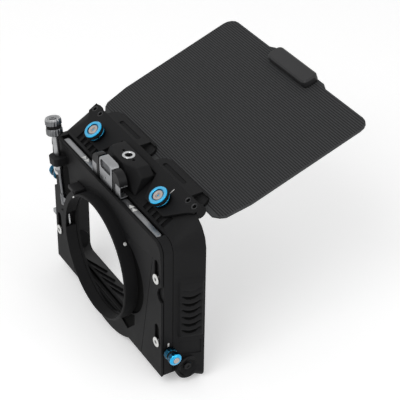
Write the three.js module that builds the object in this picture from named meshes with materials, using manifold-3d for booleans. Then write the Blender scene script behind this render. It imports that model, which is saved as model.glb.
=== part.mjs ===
// A clamp-on matte box: a clamp ring and back plate, a slide-in filter tray, a flared hood and a hinged top flag.
// Millimetres. The origin is the centre of the clamp ring's rear edge, +Y runs forwards out of the hood, +Z is up.
import * as THREE from 'three';
import { mergeVertices } from 'three/addons/utils/BufferGeometryUtils.js';
import Module from 'manifold-3d';

const wasm = await Module();
wasm.setup();

// Driving dimensions
const clearance = 0.3;
const slideGap = 0.4;
const overrun = 3;
const ringSteps = 64;
const turn = Math.PI * 2;
const degree = Math.PI / 180;

const lens = { radius: 47.5 };
const ring = { wall: 1.5, depth: 9.4, bevel: 0.7, grooveDepth: 0.5, grooveWidth: 0.6, grooveFromPlate: 0.8 };
const body = { bottom: -55.5, top: 62, topRadius: 9, bottomRadius: 2 };
const plate = {
  thickness: 1.8,
  inset: 0.4,
  bandRise: 0.5,
  notchDepth: 6,
  notchShoulderShare: 0.7,
  notchTop: 26.5,
  notchBottom: 12.4,
  flangeWidth: 16.6,
  shoulderWidth: 3.6,
  seamTop: { inset: 13.3, z: 40.8 },
  seamFoot: { inset: 31.2 },
  seamCorner: { inset: 12.6, z: 45.2 },
  seamCrest: { inset: 41, z: 42 },
  bandEnd: { z: 50.4 },
  bandStartShare: 0.55,
  crestTurn: 8 * degree,
  pocketDepth: 1.1,
};
const crescent = { x: 26, z: 3, radius: 33.8 };
const sidePocket = {
  toe: { x: 33.9, z: -47.2 },
  flank: { x: 45.3, z: -35.7 },
  crown: { x: 45.5, z: -26.1 },
  shoulder: { x: 31.1, z: -33.3 },
  heel: { x: 24.4, z: -43.8 },
};
const stud = {
  inset: 6.8,
  upper: 30.1,
  lower: -26.6,
  headRadius: 4.6,
  headThickness: 0.9,
  shankRadius: 1.4,
  seatDepth: 3,
  eyeRadius: 0.8,
  slotRise: 16,
  slotHalfWidth: 3,
};
const filter = { width: 143.5, height: 101.6, thickness: 4, play: 0.3 };
const tray = {
  sideWall: 2.4,
  floorWall: 1.2,
  headWall: 3.5,
  depth: 5.5,
  ledgeSide: 5.9,
  ledgeFoot: 3.4,
  ledgeHead: 4.4,
};
const bar = { height: 2.9 };
const stage = { skin: 0.8, depth: 7.1, sideWall: 11.3, floorWall: 5.5, handleNotch: { halfWidth: 23, drop: 2.5 } };
const hood = {
  base: 2.3,
  reach: 20,
  slope: 33 * degree,
  wallRear: 2.2,
  wallFront: 1.4,
  flare: 6.7,
  drop: 9.7,
  frontTopRadius: 36,
  frontBottomRadius: 8,
  openingMargin: 2,
  openingRadius: 5,
};
const fin = { first: 39.7, pitch: 6.4, count: 5, width: 4.1, depth: 1.3, start: 0.2, length: 9.6 };
const baffle = {
  count: 4,
  pitch: 13.6,
  start: 4,
  length: 12,
  width: 2.4,
  height: 1.2,
  lean: 55.8 * degree,
  inset: 16,
};
const grip = {
  ribs: 7,
  pitch: 6.45,
  width: 3,
  rise: 0.9,
  length: 16.5,
  start: 2,
  top: 26.6,
  lean: 20.8 * degree,
  panelTop: -27,
  panelBottom: -39.5,
  panelDepth: 0.7,
};
const lug = { radius: 9.8, forward: 8.2, z: -50.8, thickness: 3.6, standOff: 1.7, recess: 5.7, recessDepth: 2.2 };
const lugScrew = { radius: 5.2, thickness: 1.7, socket: 2.2, socketDepth: 1 };
const block = {
  height: 19.1,
  rear: 24.3,
  front: 36.7,
  halfWidth: 20.3,
  footHalfWidth: 24,
  footFront: 39,
  corner: 2.2,
  threadY: 30.7,
  boreRadius: 2.8,
  boreDepth: 10,
  pinX: 7.6,
  pinRadius: 1.1,
  pinDepth: 3,
};
const insert = { radius: 4.8, rise: 0.5, length: 8 };
const wing = {
  thickness: 2.2,
  front: 29.5,
  rear: 5.3,
  inset: 7.7,
  shoulder: { inset: 4.2, v: 18.6 },
  flank: { v: 21.5 },
  heel: { inset: 17.1 },
  strip: 23.4,
  notchFront: { x: 25.2 },
  notchWaist: { x: 26.8, v: 20.2 },
  notchMiddle: { x: 31, v: 12.4 },
  notchRear: { x: 34.5 },
};
const wingScrew = { back: 3.8, outer: 3.4, inner: 12, headRadius: 2.6, shankRadius: 1.2, length: 1.6, socket: 0.9 };
const thumb = {
  inset: 28.6,
  v: 13.1,
  radius: 7.2,
  teeth: 20,
  knurl: 0.35,
  lower: 2.9,
  neck: 2.9,
  upper: 1.6,
  neckRadius: 5.6,
  ringRadius: 7.1,
  dish: 1.3,
  dishRadius: 4.7,
  headRadius: 3.9,
  headThickness: 1,
  shankRadius: 1.6,
  shankReach: 1.6,
  socket: 1.7,
  socketDepth: 0.7,
};
const hinge = {
  back: 3.9,
  drop: 2.6,
  earRadius: 5.1,
  earThickness: 3,
  pinRadius: 1.2,
  barrelRadius: 2.4,
  play: 0.15,
};
const knuckle = { halfWidth: 4.5 };
const flag = {
  tilt: 20.4 * degree,
  below: 7.4,
  thickness: 1.5,
  rear: 7.5,
  front: 136.1,
  tongue: 138.6,
  tongueHalfWidth: 31.9,
  tongueFoot: 37.6,
  halfWidth: 92.6,
  rearInset: 12.8,
  heel: { inset: 7.5, v: 9.2 },
  shoulder: { inset: 4.3, v: 13.1 },
  flank: { inset: 1.1, v: 32.5 },
  cornerRadius: 9,
  heelRadius: 2,
};
const arm = {
  inner: 6.5,
  inset: 9.8,
  toe: 15,
  toeRise: 2,
  crestRise: 3.9,
  crest: 13,
  shoulderV: 5.2,
  shoulderW: -0.6,
  corner: 8,
  slotLeft: { from: -53, to: -24 },
  slotRight: { from: 14, to: 44 },
  slotWidth: 3.4,
  slotDepth: 1,
  slotV: 8,
  notchLength: 9.5,
  notchDepth: 1.8,
};
const flagGrip = {
  halfWidth: 25.5,
  rear: 125.8,
  front: 139.6,
  thickness: 5.8,
  cornerRadius: 4,
  bevel: 1.2,
  backing: 1.6,
  screwX: 15,
  screwRadius: 1.4,
};
const clamp = {
  tilt: 10.7 * degree,
  axisOut: 7.1,
  axisY: 5,
  rodRadius: 2,
  rootRadius: 1.35,
  tipTop: 31,
  tipBottom: 21.5,
  tipRadius: 2.1,
  tipNoseShare: 0.6,
  lugBottom: 57.9,
  lugTop: 63.6,
  lugRadius: 6.7,
  lugReach: 6.3,
  lugRearCorner: 6.2,
  lugHeelCorner: 3,
  lugFrontCorner: 2,
  knobBottom: 81.3,
  knobLower: 5.4,
  knobNeck: 2,
  knobUpper: 4.4,
  knobRadius: 6.1,
  knobTeeth: 18,
  knobKnurl: 0.35,
  neckRadius: 4.9,
  ringRadius: 6,
  dish: 0.9,
  dishRadius: 4.6,
  socket: 1.7,
  travel: 2.8,
};
const shoe = {
  from: 137.5 * degree,
  to: 164.5 * degree,
  thickness: 3.4,
  sideGap: 0.9,
  pocketFrom: 136.6 * degree,
  pocketTo: 182 * degree,
  pocketWall: 0.7,
  play: 0.5,
};
const housing = {
  wallOut: 4,
  head: 20.5,
  foot: -5,
  innerDistance: 25,
  shellOut: 3.4,
  shellRear: 0,
  rampRear: 3,
  rampOut: 10.5,
  end: 128 * degree,
};
const stalk = { width: 4, thickness: 2.6, low: 25.2 };
const guide = { out: 1, radius: 1.05, top: 17.2, bottom: 6.4 };
const pull = {
  radius: 5.1,
  teeth: 16,
  knurl: 0.35,
  start: 1,
  lower: 4.1,
  neck: 1.6,
  upper: 5.2,
  neckRadius: 4,
  ringRadius: 5,
  pinRadius: 1.5,
  pinReach: 6,
  discRadius: 3.4,
  discThickness: 0.8,
  releaseZ: -33,
  lockZ: 19,
};
const lever = {
  z: -21.8,
  pivotInset: 5,
  reach: 14,
  halfHeight: 2.3,
  thickness: 3.2,
  pinRadius: 1,
  swing: 28 * degree,
  tipShare: 0.8,
};
const handle = {
  halfWidth: 9.7,
  rear: 11.6,
  front: 18.4,
  headFront: 20.4,
  headRise: 2.6,
  height: 19.8,
  cornerRadius: 3.2,
  recessTop: 1.8,
  recessBottom: 9.4,
  recessHalfWidth: 7.2,
  recessDepth: 1,
  holeDrop: 12.6,
  holeRadius: 0.7,
  edge: 1.2,
};
const latch = {
  gap: 1.5,
  width: 10.2,
  stem: 3.1,
  headRise: 11.4,
  height: 20.1,
  radius: 8.2,
  rear: 11.8,
  front: 18.3,
};
const catcher = { gap: 0.4, wall: 1.2, ledge: 1, rise: 1.1 };

// Stations along Y, rear to front
const plateRear = ring.depth;
const plateFront = plateRear + plate.thickness;
const stageRear = plateFront + clearance;
const stageFront = stageRear + stage.depth;
const stageMiddle = (stageRear + stageFront) / 2;
const hoodRear = stageFront + clearance;
const flareRear = hoodRear + hood.base;
const flareFront = flareRear + hood.reach;
const trayRear = stageRear + stage.skin + slideGap;
const trayFront = trayRear + tray.depth;

// Filter tray and light path, worked out from the filter
const seatHalfWidth = filter.width / 2 + filter.play / 2;
const trayHalfWidth = seatHalfWidth + tray.sideWall;
const channelHalfWidth = trayHalfWidth + slideGap;
const stageFloor = body.bottom + stage.floorWall;
const trayBottom = stageFloor + slideGap;
const seatBottom = trayBottom + tray.floorWall;
const seatTop = seatBottom + filter.height + filter.play;
const trayTop = seatTop + tray.headWall;
const lightHalfWidth = seatHalfWidth - tray.ledgeSide;
const lightBottom = seatBottom + tray.ledgeFoot;
const lightTop = seatTop - tray.ledgeHead;
const barBottom = trayTop + clearance;
const barTop = barBottom + bar.height;
const handleTop = barTop + handle.height;
const latchTop = barTop + latch.height;
const latchHeadFoot = barTop + latch.headRise;
const channelFoot = barTop + catcher.rise;

// Distances from the lens axis, worked out from the clamp ring
const ringRadius = lens.radius + ring.wall;
const flangeRadius = ringRadius + plate.flangeWidth;
const shoulderRadius = ringRadius + plate.shoulderWidth;
const screwDistance = ringRadius + clamp.axisOut;
const wallDistance = ringRadius + housing.wallOut;
const guideDistance = ringRadius + guide.out;

// Places across the body, worked out from its half width
const bodyHalfWidth = channelHalfWidth + stage.sideWall;
const hoodHalfWidth = bodyHalfWidth + hood.flare;
const hoodBottom = body.bottom - hood.drop;
const studX = bodyHalfWidth - stud.inset;
const seamTopX = bodyHalfWidth - plate.seamTop.inset;
const seamFootX = bodyHalfWidth - plate.seamFoot.inset;
const seamCornerX = bodyHalfWidth - plate.seamCorner.inset;
const seamCrestX = bodyHalfWidth - plate.seamCrest.inset;
const wingHalfWidth = bodyHalfWidth - wing.inset;
const screwOuterX = wingHalfWidth - wingScrew.outer;
const screwInnerX = wingHalfWidth - wingScrew.inner;
const thumbX = wingHalfWidth - thumb.inset;
const armOuter = wingHalfWidth - arm.inset;
const blockTop = body.top + block.height;

// Materials
const finish = (color, roughness, metalness) => new THREE.MeshStandardMaterial({
  color, roughness, metalness, flatShading: true,
});
const black = finish(0x232325, 0.55, 0.1);
const blackPlastic = finish(0x1d1d1f, 0.62, 0);
const graphite = finish(0x3a3b3d, 0.5, 0.1);
const grey = finish(0x8d8e90, 0.42, 0.8);
const blue = finish(0x22a7e0, 0.35, 0.8);
const steel = finish(0xd9dadc, 0.25, 1);
const rubber = finish(0x111111, 0.85, 0);
const white = finish(0xe8e8e6, 0.5, 0);

// Solids
function toSolid(geometry) {
  const bare = geometry.clone();
  bare.deleteAttribute('normal');
  bare.deleteAttribute('uv');
  const merged = mergeVertices(bare, 1e-4);
  const vertProperties = new Float32Array(merged.attributes.position.array);
  const triVerts = new Uint32Array(merged.index.array);
  const corner = (index) => new THREE.Vector3().fromArray(vertProperties, index * 3);
  let volume = 0;
  for (let i = 0; i < triVerts.length; i += 3) {
    const first = corner(triVerts[i]);
    volume += first.dot(corner(triVerts[i + 1]).cross(corner(triVerts[i + 2])));
  }
  if (volume < 0) {
    for (let i = 0; i < triVerts.length; i += 3) {
      [triVerts[i], triVerts[i + 1]] = [triVerts[i + 1], triVerts[i]];
    }
  }
  return new wasm.Manifold(new wasm.Mesh({ numProp: 3, vertProperties, triVerts }));
}

function toMesh(name, solid, material) {
  const mesh = solid.getMesh();
  const positions = [];
  for (let i = 0; i < mesh.vertProperties.length; i += mesh.numProp) {
    positions.push(...mesh.vertProperties.slice(i, i + 3));
  }
  const geometry = new THREE.BufferGeometry();
  geometry.setAttribute('position', new THREE.Float32BufferAttribute(positions, 3));
  geometry.setIndex([...mesh.triVerts]);
  geometry.computeVertexNormals();
  const result = new THREE.Mesh(geometry, material);
  result.name = name;
  return result;
}

const join = (...solids) => solids.flat().reduce((sum, solid) => sum.add(solid));
const cut = (solid, ...tools) => tools.flat().reduce((rest, tool) => rest.subtract(tool), solid);

// A frame is an origin and three directions: across, along and out
function frame(origin, across, along, out) {
  const matrix = new THREE.Matrix4().makeBasis(across, along, out);
  return matrix.setPosition(origin);
}
const axisX = new THREE.Vector3(1, 0, 0);
const axisY = new THREE.Vector3(0, 1, 0);
const axisZ = new THREE.Vector3(0, 0, 1);
const zero = new THREE.Vector3();
const rearView = frame(zero, axisX, axisZ, axisY);
const sideView = frame(zero, axisY, axisZ, axisX);
const planView = frame(zero, axisX, axisY, axisZ);

function mirrored(view) {
  return new THREE.Matrix4().makeScale(-1, 1, 1).multiply(view);
}

function outlineShape(points) {
  return new THREE.Shape(points.map(([a, b]) => new THREE.Vector2(a, b)));
}

// A flat outline pushed from one level to another along its frame's out direction
function prism(points, from, to, view = planView) {
  const geometry = new THREE.ExtrudeGeometry(outlineShape(points), {
    depth: to - from, bevelEnabled: false, curveSegments: 1,
  });
  geometry.translate(0, 0, from);
  geometry.applyMatrix4(view);
  return toSolid(geometry);
}

function arc(x, y, radius, start, end, steps) {
  const points = [];
  for (let i = 0; i <= steps; i += 1) {
    const angle = start + ((end - start) * i) / steps;
    points.push([x + radius * Math.cos(angle), y + radius * Math.sin(angle)]);
  }
  return points;
}

const circle = (x, y, radius, steps) => arc(x, y, radius, 0, turn, steps).slice(1);
const cylinder = (x, y, radius, from, to, view, steps = 24) => prism(circle(x, y, radius, steps), from, to, view);

function rectangle(left, bottom, right, top) {
  return [[left, bottom], [right, bottom], [right, top], [left, top]];
}
const box = (left, bottom, right, top, from, to, view) => prism(rectangle(left, bottom, right, top), from, to, view);

// Corners given as [x, y, radius], walked anticlockwise, each rounded with the same number of steps
function rounded(corners, steps = 6) {
  const points = [];
  corners.forEach(([x, y, radius], index) => {
    const here = new THREE.Vector2(x, y);
    const before = new THREE.Vector2(...corners[(index + corners.length - 1) % corners.length].slice(0, 2));
    const after = new THREE.Vector2(...corners[(index + 1) % corners.length].slice(0, 2));
    const back = before.sub(here).normalize();
    const ahead = after.sub(here).normalize();
    const half = Math.acos(THREE.MathUtils.clamp(back.dot(ahead), -1, 1)) / 2;
    if (radius === 0) {
      points.push([x, y]);
      return;
    }
    const middle = back.clone().add(ahead).normalize();
    const centre = here.clone().addScaledVector(middle, radius / Math.sin(half));
    const entry = here.clone().addScaledVector(back, radius / Math.tan(half)).sub(centre);
    const exit = here.clone().addScaledVector(ahead, radius / Math.tan(half)).sub(centre);
    const start = Math.atan2(entry.y, entry.x);
    let sweep = Math.atan2(exit.y, exit.x) - start;
    if (sweep > Math.PI) sweep -= turn;
    if (sweep < -Math.PI) sweep += turn;
    points.push(...arc(centre.x, centre.y, radius, start, start + sweep, steps));
  });
  return points;
}

const roundedBox = (left, bottom, right, top, radius, steps) => rounded([
  [left, bottom, radius], [right, bottom, radius], [right, top, radius], [left, top, radius],
], steps);

// A right-hand half outline, walked from the foot of the centre line to its head, closed by its mirror image
function bothSides(half) {
  const other = half.filter(([x]) => x !== 0).map(([x, y]) => [-x, y]).reverse();
  return [...half, ...other];
}

// A closed skin through outlines with the same number of points
function loft(outlines, view) {
  const count = outlines[0].points.length;
  const positions = outlines.flatMap(({ points, level }) => points.flatMap(([x, y]) => [x, y, level]));
  const faces = THREE.ShapeUtils.triangulateShape(
    outlines[0].points.map(([x, y]) => new THREE.Vector2(x, y)), [],
  );
  const index = [];
  for (const [a, b, c] of faces) {
    index.push(c, b, a);
    const last = (outlines.length - 1) * count;
    index.push(last + a, last + b, last + c);
  }
  for (let level = 0; level < outlines.length - 1; level += 1) {
    for (let i = 0; i < count; i += 1) {
      const a = level * count + i;
      const b = level * count + ((i + 1) % count);
      index.push(a, b, b + count, a, b + count, a + count);
    }
  }
  const geometry = new THREE.BufferGeometry();
  geometry.setAttribute('position', new THREE.Float32BufferAttribute(positions, 3));
  geometry.setIndex(index);
  geometry.applyMatrix4(view);
  return toSolid(geometry);
}

// A turned solid: a closed profile of [radius, height] spun about its frame's out direction
function turned(profile, view, steps = 20) {
  const closed = [...profile, profile[0]].map(([radius, height]) => new THREE.Vector2(radius, height));
  const geometry = new THREE.LatheGeometry(closed, steps);
  geometry.rotateX(Math.PI / 2);
  geometry.applyMatrix4(view);
  return toSolid(geometry);
}

// The side of a knurled wheel: fine teeth round a circle
function knurled(radius, teeth, depth) {
  const points = [];
  for (let i = 0; i < teeth * 2; i += 1) {
    const angle = (turn * i) / (teeth * 2);
    const reach = i % 2 ? radius - depth : radius;
    points.push([reach * Math.cos(angle), reach * Math.sin(angle)]);
  }
  return points;
}

// A round seal with a bevelled rim, filling a groove
function seal(inner, outer, from, to, view) {
  const bevel = (outer - inner) / 3;
  return turned([
    [inner, from], [outer - bevel, from], [outer, from + bevel / 2],
    [outer, to - bevel / 2], [outer - bevel, to], [inner, to],
  ], view);
}

const nodes = [];
function add(name, solid, material) {
  nodes.push(toMesh(name, solid, material));
}

// Frames of the leaning features
const slopeCos = Math.cos(hood.slope);
const slopeSin = Math.sin(hood.slope);
const slopeAlong = new THREE.Vector3(0, slopeCos, slopeSin);
const slopeOut = new THREE.Vector3(0, -slopeSin, slopeCos);
const slopeOrigin = new THREE.Vector3(0, flareRear, body.top);
const slopeView = frame(slopeOrigin, axisX, slopeAlong, slopeOut);
const wingUnder = clearance;
const wingTop = wingUnder + wing.thickness;
const hoodFrontTop = body.top + hood.reach * Math.tan(hood.slope);

const hingeV = wing.front - hinge.back;
const hingeCentre = slopeOrigin.clone().addScaledVector(slopeAlong, hingeV).addScaledVector(slopeOut, -hinge.drop);
const flagAlong = new THREE.Vector3(0, Math.cos(flag.tilt), Math.sin(flag.tilt));
const flagOut = new THREE.Vector3(0, -Math.sin(flag.tilt), Math.cos(flag.tilt));
const flagView = frame(hingeCentre, axisX, flagAlong, flagOut);
const flagSide = frame(hingeCentre, flagAlong, flagOut, axisX);

const clampUp = new THREE.Vector3(-Math.sin(clamp.tilt), 0, Math.cos(clamp.tilt));
const clampAway = new THREE.Vector3(-Math.cos(clamp.tilt), 0, -Math.sin(clamp.tilt));
const clampOrigin = clampAway.clone().multiplyScalar(screwDistance).addScaledVector(axisY, clamp.axisY);
const clampAxis = frame(clampOrigin, clampAway, axisY, clampUp);
const clampFace = frame(zero, clampAway, clampUp, axisY);

// The insert plate's outline, drawn in by a given gap along its seams with the back plate
function insertOutline(gap) {
  const flangeX = Math.sqrt(flangeRadius ** 2 - body.bottom ** 2);
  const flangeAngle = Math.atan2(body.bottom, flangeX);
  const shoulder = shoulderRadius - gap;
  const crestAngle = Math.atan2(plate.seamCrest.z - gap, seamCrestX);
  const shoulderStart = crestAngle + plate.crestTurn;
  return bothSides([
    ...arc(0, 0, flangeRadius, -turn / 4, flangeAngle, 14),
    [seamFootX - gap, body.bottom],
    [seamTopX - gap, plate.seamTop.z],
    [seamCornerX - gap, plate.seamCorner.z - gap],
    [seamCrestX, plate.seamCrest.z - gap],
    ...arc(0, 0, shoulder, shoulderStart, turn / 4, 10),
  ]);
}

function backPlateOutline() {
  const edge = bodyHalfWidth - plate.inset;
  const head = body.top;
  const middle = (plate.notchTop + plate.notchBottom) / 2;
  const quarter = (plate.notchTop - plate.notchBottom) / 4;
  const corner = body.topRadius;
  return bothSides([
    [0, body.bottom],
    [edge, body.bottom],
    [edge, plate.notchBottom],
    [edge - plate.notchDepth * plate.notchShoulderShare, plate.notchBottom + quarter / 2],
    [edge - plate.notchDepth, middle - quarter / 2],
    [edge - plate.notchDepth * plate.notchShoulderShare, middle + quarter],
    [edge, plate.notchTop],
    ...arc(edge - corner, head - corner, corner, 0, turn / 4, 6),
    [0, head],
  ]);
}

function rodPocket(level) {
  const left = wallDistance - overrun;
  const right = screwDistance + clamp.lugReach + overrun;
  return box(left, clamp.tipBottom - overrun, right, clamp.lugTop, plateRear - overrun, level, clampFace);
}

function backPlate() {
  const edge = bodyHalfWidth - plate.inset;
  const blank = prism(backPlateOutline(), plateRear, plateFront, rearView);
  const slopeEnd = plate.bandEnd.z;
  const bandHalf = [
    [0, shoulderRadius + clearance],
    [seamCrestX * plate.bandStartShare, plate.seamCrest.z + clearance],
    [seamCrestX, plate.seamCrest.z + clearance],
    [seamCornerX, plate.seamCorner.z + clearance],
    [edge, slopeEnd],
    ...arc(edge - body.topRadius, body.top - body.topRadius, body.topRadius, 0, turn / 4, 6),
    [0, body.top],
  ];
  const band = prism(bothSides(bandHalf), plateRear - plate.bandRise, plateRear + plate.bandRise, rearView);
  const slots = [];
  for (const side of [-1, 1]) {
    for (const z of [stud.upper, stud.lower]) {
      const half = stud.slotHalfWidth;
      const top = z + stud.slotRise - half;
      const outline = [
        ...arc(side * studX, z, half, -turn / 2, 0, 8),
        ...arc(side * studX, top, half, 0, turn / 2, 8),
      ];
      slots.push(prism(outline, plateRear - overrun, plateFront + overrun, rearView));
    }
  }
  const seam = prism(insertOutline(-clearance), plateRear - overrun, plateFront + overrun, rearView);
  const pocket = rodPocket(plateRear + plate.pocketDepth);
  return cut(join(cut(join(blank, band), pocket), earSolid()), seam, slots);
}

// The housing beside the ring: a block under the screw's end, and above it a shell over the shoe that ramps down
// to the plate, so the screw lies open
function housingSolid() {
  const block = box(housing.innerDistance, housing.foot, wallDistance, housing.head, 0, plateFront, clampFace);
  const shell = turned([
    [0, housing.shellRear],
    [ringRadius + housing.shellOut, housing.shellRear],
    [ringRadius + housing.shellOut, housing.rampRear],
    [ringRadius + housing.rampOut, plateRear],
    [ringRadius + housing.rampOut, plateFront],
    [0, plateFront],
  ], rearView, ringSteps);
  const far = bodyHalfWidth;
  const sector = prism([
    [0, 0],
    [far * Math.cos(housing.end), far * Math.sin(housing.end)],
    [-far, far],
    [-far, 0],
  ], -overrun, plateFront + overrun, rearView);
  const side = box(0, 0, wallDistance, far, -overrun, plateFront + overrun, clampFace);
  return join(block, shell.intersect(sector).intersect(side));
}

function clampPlate() {
  const blank = prism(insertOutline(0), plateRear, plateFront, rearView);
  const pocketFloor = plateRear + plate.pocketDepth;
  const moon = cut(
    cylinder(crescent.x, crescent.z, crescent.radius, plateRear - overrun, pocketFloor, rearView, 40),
    cylinder(0, 0, ringRadius, plateRear - overrun, plateFront, rearView, ringSteps),
  );
  const hollow = prism(
    Object.values(sidePocket).map(({ x, z }) => [x, z]),
    plateRear - overrun, pocketFloor, rearView,
  );
  const collar = turned([
    [lens.radius - overrun, 0], [ringRadius - ring.bevel, 0], [ringRadius, ring.bevel], [ringRadius, plateFront],
    [lens.radius - overrun, plateFront],
  ], rearView, ringSteps);
  const wallBlock = housingSolid().intersect(prism(insertOutline(0), -overrun, plateFront, rearView));
  const bore = cylinder(0, 0, lens.radius, -overrun, plateFront + overrun, rearView, ringSteps);
  const grooveFront = plateRear - ring.grooveFromPlate + ring.grooveWidth;
  const groove = cylinder(0, 0, lens.radius + ring.grooveDepth, plateRear - ring.grooveFromPlate, grooveFront,
    rearView, ringSteps);
  const solid = join(cut(blank, moon, hollow, rodPocket(pocketFloor)), collar, wallBlock);
  const pinSeat = cylinder(guideDistance - screwDistance, 0, guide.radius + clearance, guide.bottom - clearance,
    guide.top + clearance, clampAxis, 16);
  return cut(solid, bore, groove, shoePocket(), pinSeat);
}

// The ear that the clamp screw runs in: a round end on the screw's axis, bridged to the ring's housing
function earSolid() {
  const reach = screwDistance - wallDistance + clamp.lugReach;
  const outline = rounded([
    [-reach, -clamp.lugRadius, clamp.lugHeelCorner],
    [clamp.lugReach, -clamp.lugRadius, clamp.lugRearCorner],
    [clamp.lugReach, clamp.lugRadius, clamp.lugFrontCorner],
    [-reach, clamp.lugRadius, 0],
  ]);
  const whole = prism(outline, clamp.lugBottom, clamp.lugTop, clampAxis);
  const bore = cylinder(0, 0, clamp.rodRadius + clearance, clamp.lugBottom - overrun, clamp.lugTop + overrun,
    clampAxis, 20);
  const ahead = box(-bodyHalfWidth * 2, body.bottom * 2, bodyHalfWidth, body.top * 2, plateFront,
    plateFront + clamp.lugRadius * 2, rearView);
  return cut(whole, bore, ahead);
}

// The room in the ring's wall that the shoe slides in
function shoePocket() {
  const inner = lens.radius - overrun;
  const outer = lens.radius + shoe.thickness + shoe.play;
  const outline = [
    ...arc(0, 0, outer, shoe.pocketFrom, shoe.pocketTo, 18),
    ...arc(0, 0, inner, shoe.pocketTo, shoe.pocketFrom, 18),
  ];
  const room = prism(outline, shoe.pocketWall, plateRear - shoe.pocketWall, rearView);
  const half = stalk.thickness / 2 + clearance;
  const gate = box(screwDistance - lens.radius / 2, stalk.low - clamp.travel - clearance,
    screwDistance, stalk.low + stalk.width + clearance, clamp.axisY - half, clamp.axisY + half, clampFace);
  return join(room, gate);
}

function clampShoe() {
  const outer = lens.radius + shoe.thickness;
  const outline = [
    ...arc(0, 0, outer, shoe.from, shoe.to, 12),
    ...arc(0, 0, lens.radius, shoe.to, shoe.from, 12),
  ];
  const rear = shoe.pocketWall + clearance;
  const front = plateRear - shoe.pocketWall - clearance;
  const half = stalk.thickness / 2 + clearance;
  const seat = box(screwDistance - lens.radius / 2, stalk.low - clearance, screwDistance,
    stalk.low + stalk.width + clearance, clamp.axisY - half, clamp.axisY + half, clampFace);
  const far = cylinder(0, 0, outer - shoe.thickness / 2, rear - overrun, front + overrun, rearView, ringSteps);
  return cut(prism(outline, rear, front, rearView), cut(seat, far));
}

function clampNut() {
  const radius = clamp.tipRadius;
  const barrel = turned([
    [clamp.rootRadius + clearance, clamp.tipTop],
    [radius, clamp.tipTop],
    [radius, clamp.tipBottom + radius / 2],
    [radius * clamp.tipNoseShare, clamp.tipBottom],
    [0, clamp.tipBottom],
    [0, clamp.tipTop - radius * 2],
    [clamp.rootRadius + clearance, clamp.tipTop - radius * 2],
  ], clampAxis, 20);
  const middle = stalk.low + stalk.width / 2;
  const reach = Math.sqrt((lens.radius + shoe.thickness / 2 + clearance) ** 2 - middle ** 2);
  const half = stalk.thickness / 2;
  const tongue = box(reach, stalk.low, screwDistance - clamp.rootRadius - clearance, stalk.low + stalk.width,
    clamp.axisY - half, clamp.axisY + half, clampFace);
  const trim = cylinder(0, 0, clamp.rootRadius + clearance, clamp.tipTop - radius * 2, clamp.tipTop + overrun,
    clampAxis, 20);
  const inner = cylinder(0, 0, lens.radius + shoe.thickness / 2 + clearance, 0, plateRear, rearView, ringSteps);
  return cut(join(barrel, tongue), trim, inner);
}

function clampScrew() {
  const rootEnd = clamp.tipTop - clamp.tipRadius * 2 + clearance;
  const top = clamp.knobBottom + clamp.knobLower + clamp.knobNeck + clamp.knobUpper - clamp.dish - clearance;
  return turned([
    [0, rootEnd],
    [clamp.rootRadius, rootEnd],
    [clamp.rootRadius, clamp.lugBottom - clearance],
    [clamp.rodRadius, clamp.lugBottom - clearance],
    [clamp.rodRadius, top],
    [0, top],
  ], clampAxis, 20);
}

// A spool-shaped knob: two knurled wheels with a groove between them, a bore through it and a dished face
function spool(size, from, boreRadius, view) {
  const lowerTop = from + size.lower;
  const upperBottom = lowerTop + size.neck;
  const upperTop = upperBottom + size.upper;
  const wheel = knurled(size.radius, size.teeth, size.knurl);
  const solid = join(
    prism(wheel, from, lowerTop, view),
    cylinder(0, 0, size.neckRadius, lowerTop - size.knurl, upperBottom + size.knurl, view, 20),
    prism(wheel, upperBottom, upperTop, view),
  );
  const dish = cylinder(0, 0, size.dishRadius, upperTop - size.dish, upperTop + overrun, view, 24);
  const hole = cylinder(0, 0, boreRadius, from - overrun, upperTop + overrun, view, 20);
  return { solid: cut(solid, dish, hole), lowerTop, upperBottom, upperTop };
}

function socketHead(radius, from, to, socket, depth, view) {
  const disc = cylinder(0, 0, radius, from, to, view, 20);
  return cut(disc, cylinder(0, 0, socket, to - depth, to + overrun, view, 6));
}

const clampKnobSize = {
  radius: clamp.knobRadius,
  teeth: clamp.knobTeeth,
  knurl: clamp.knobKnurl,
  lower: clamp.knobLower,
  neck: clamp.knobNeck,
  upper: clamp.knobUpper,
  neckRadius: clamp.neckRadius,
  dish: clamp.dish,
  dishRadius: clamp.dishRadius,
};

function addClamp() {
  add('clamp_plate', clampPlate(), black);
  add('back_plate', backPlate(), black);
  const pin = cylinder(guideDistance - screwDistance, 0, guide.radius, guide.bottom, guide.top, clampAxis, 16);
  add('guide_pin', pin, steel);
  add('clamp_shoe', clampShoe(), blackPlastic);
  add('clamp_nut', clampNut(), grey);
  add('clamp_screw', clampScrew(), grey);
  const knob = spool(clampKnobSize, clamp.knobBottom, clamp.rodRadius + clearance, clampAxis);
  add('clamp_knob', knob.solid, grey);
  add('clamp_knob_ring', seal(clamp.neckRadius + clearance, clamp.ringRadius, knob.lowerTop + clearance / 2,
    knob.upperBottom - clearance / 2, clampAxis), rubber);
}

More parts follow.
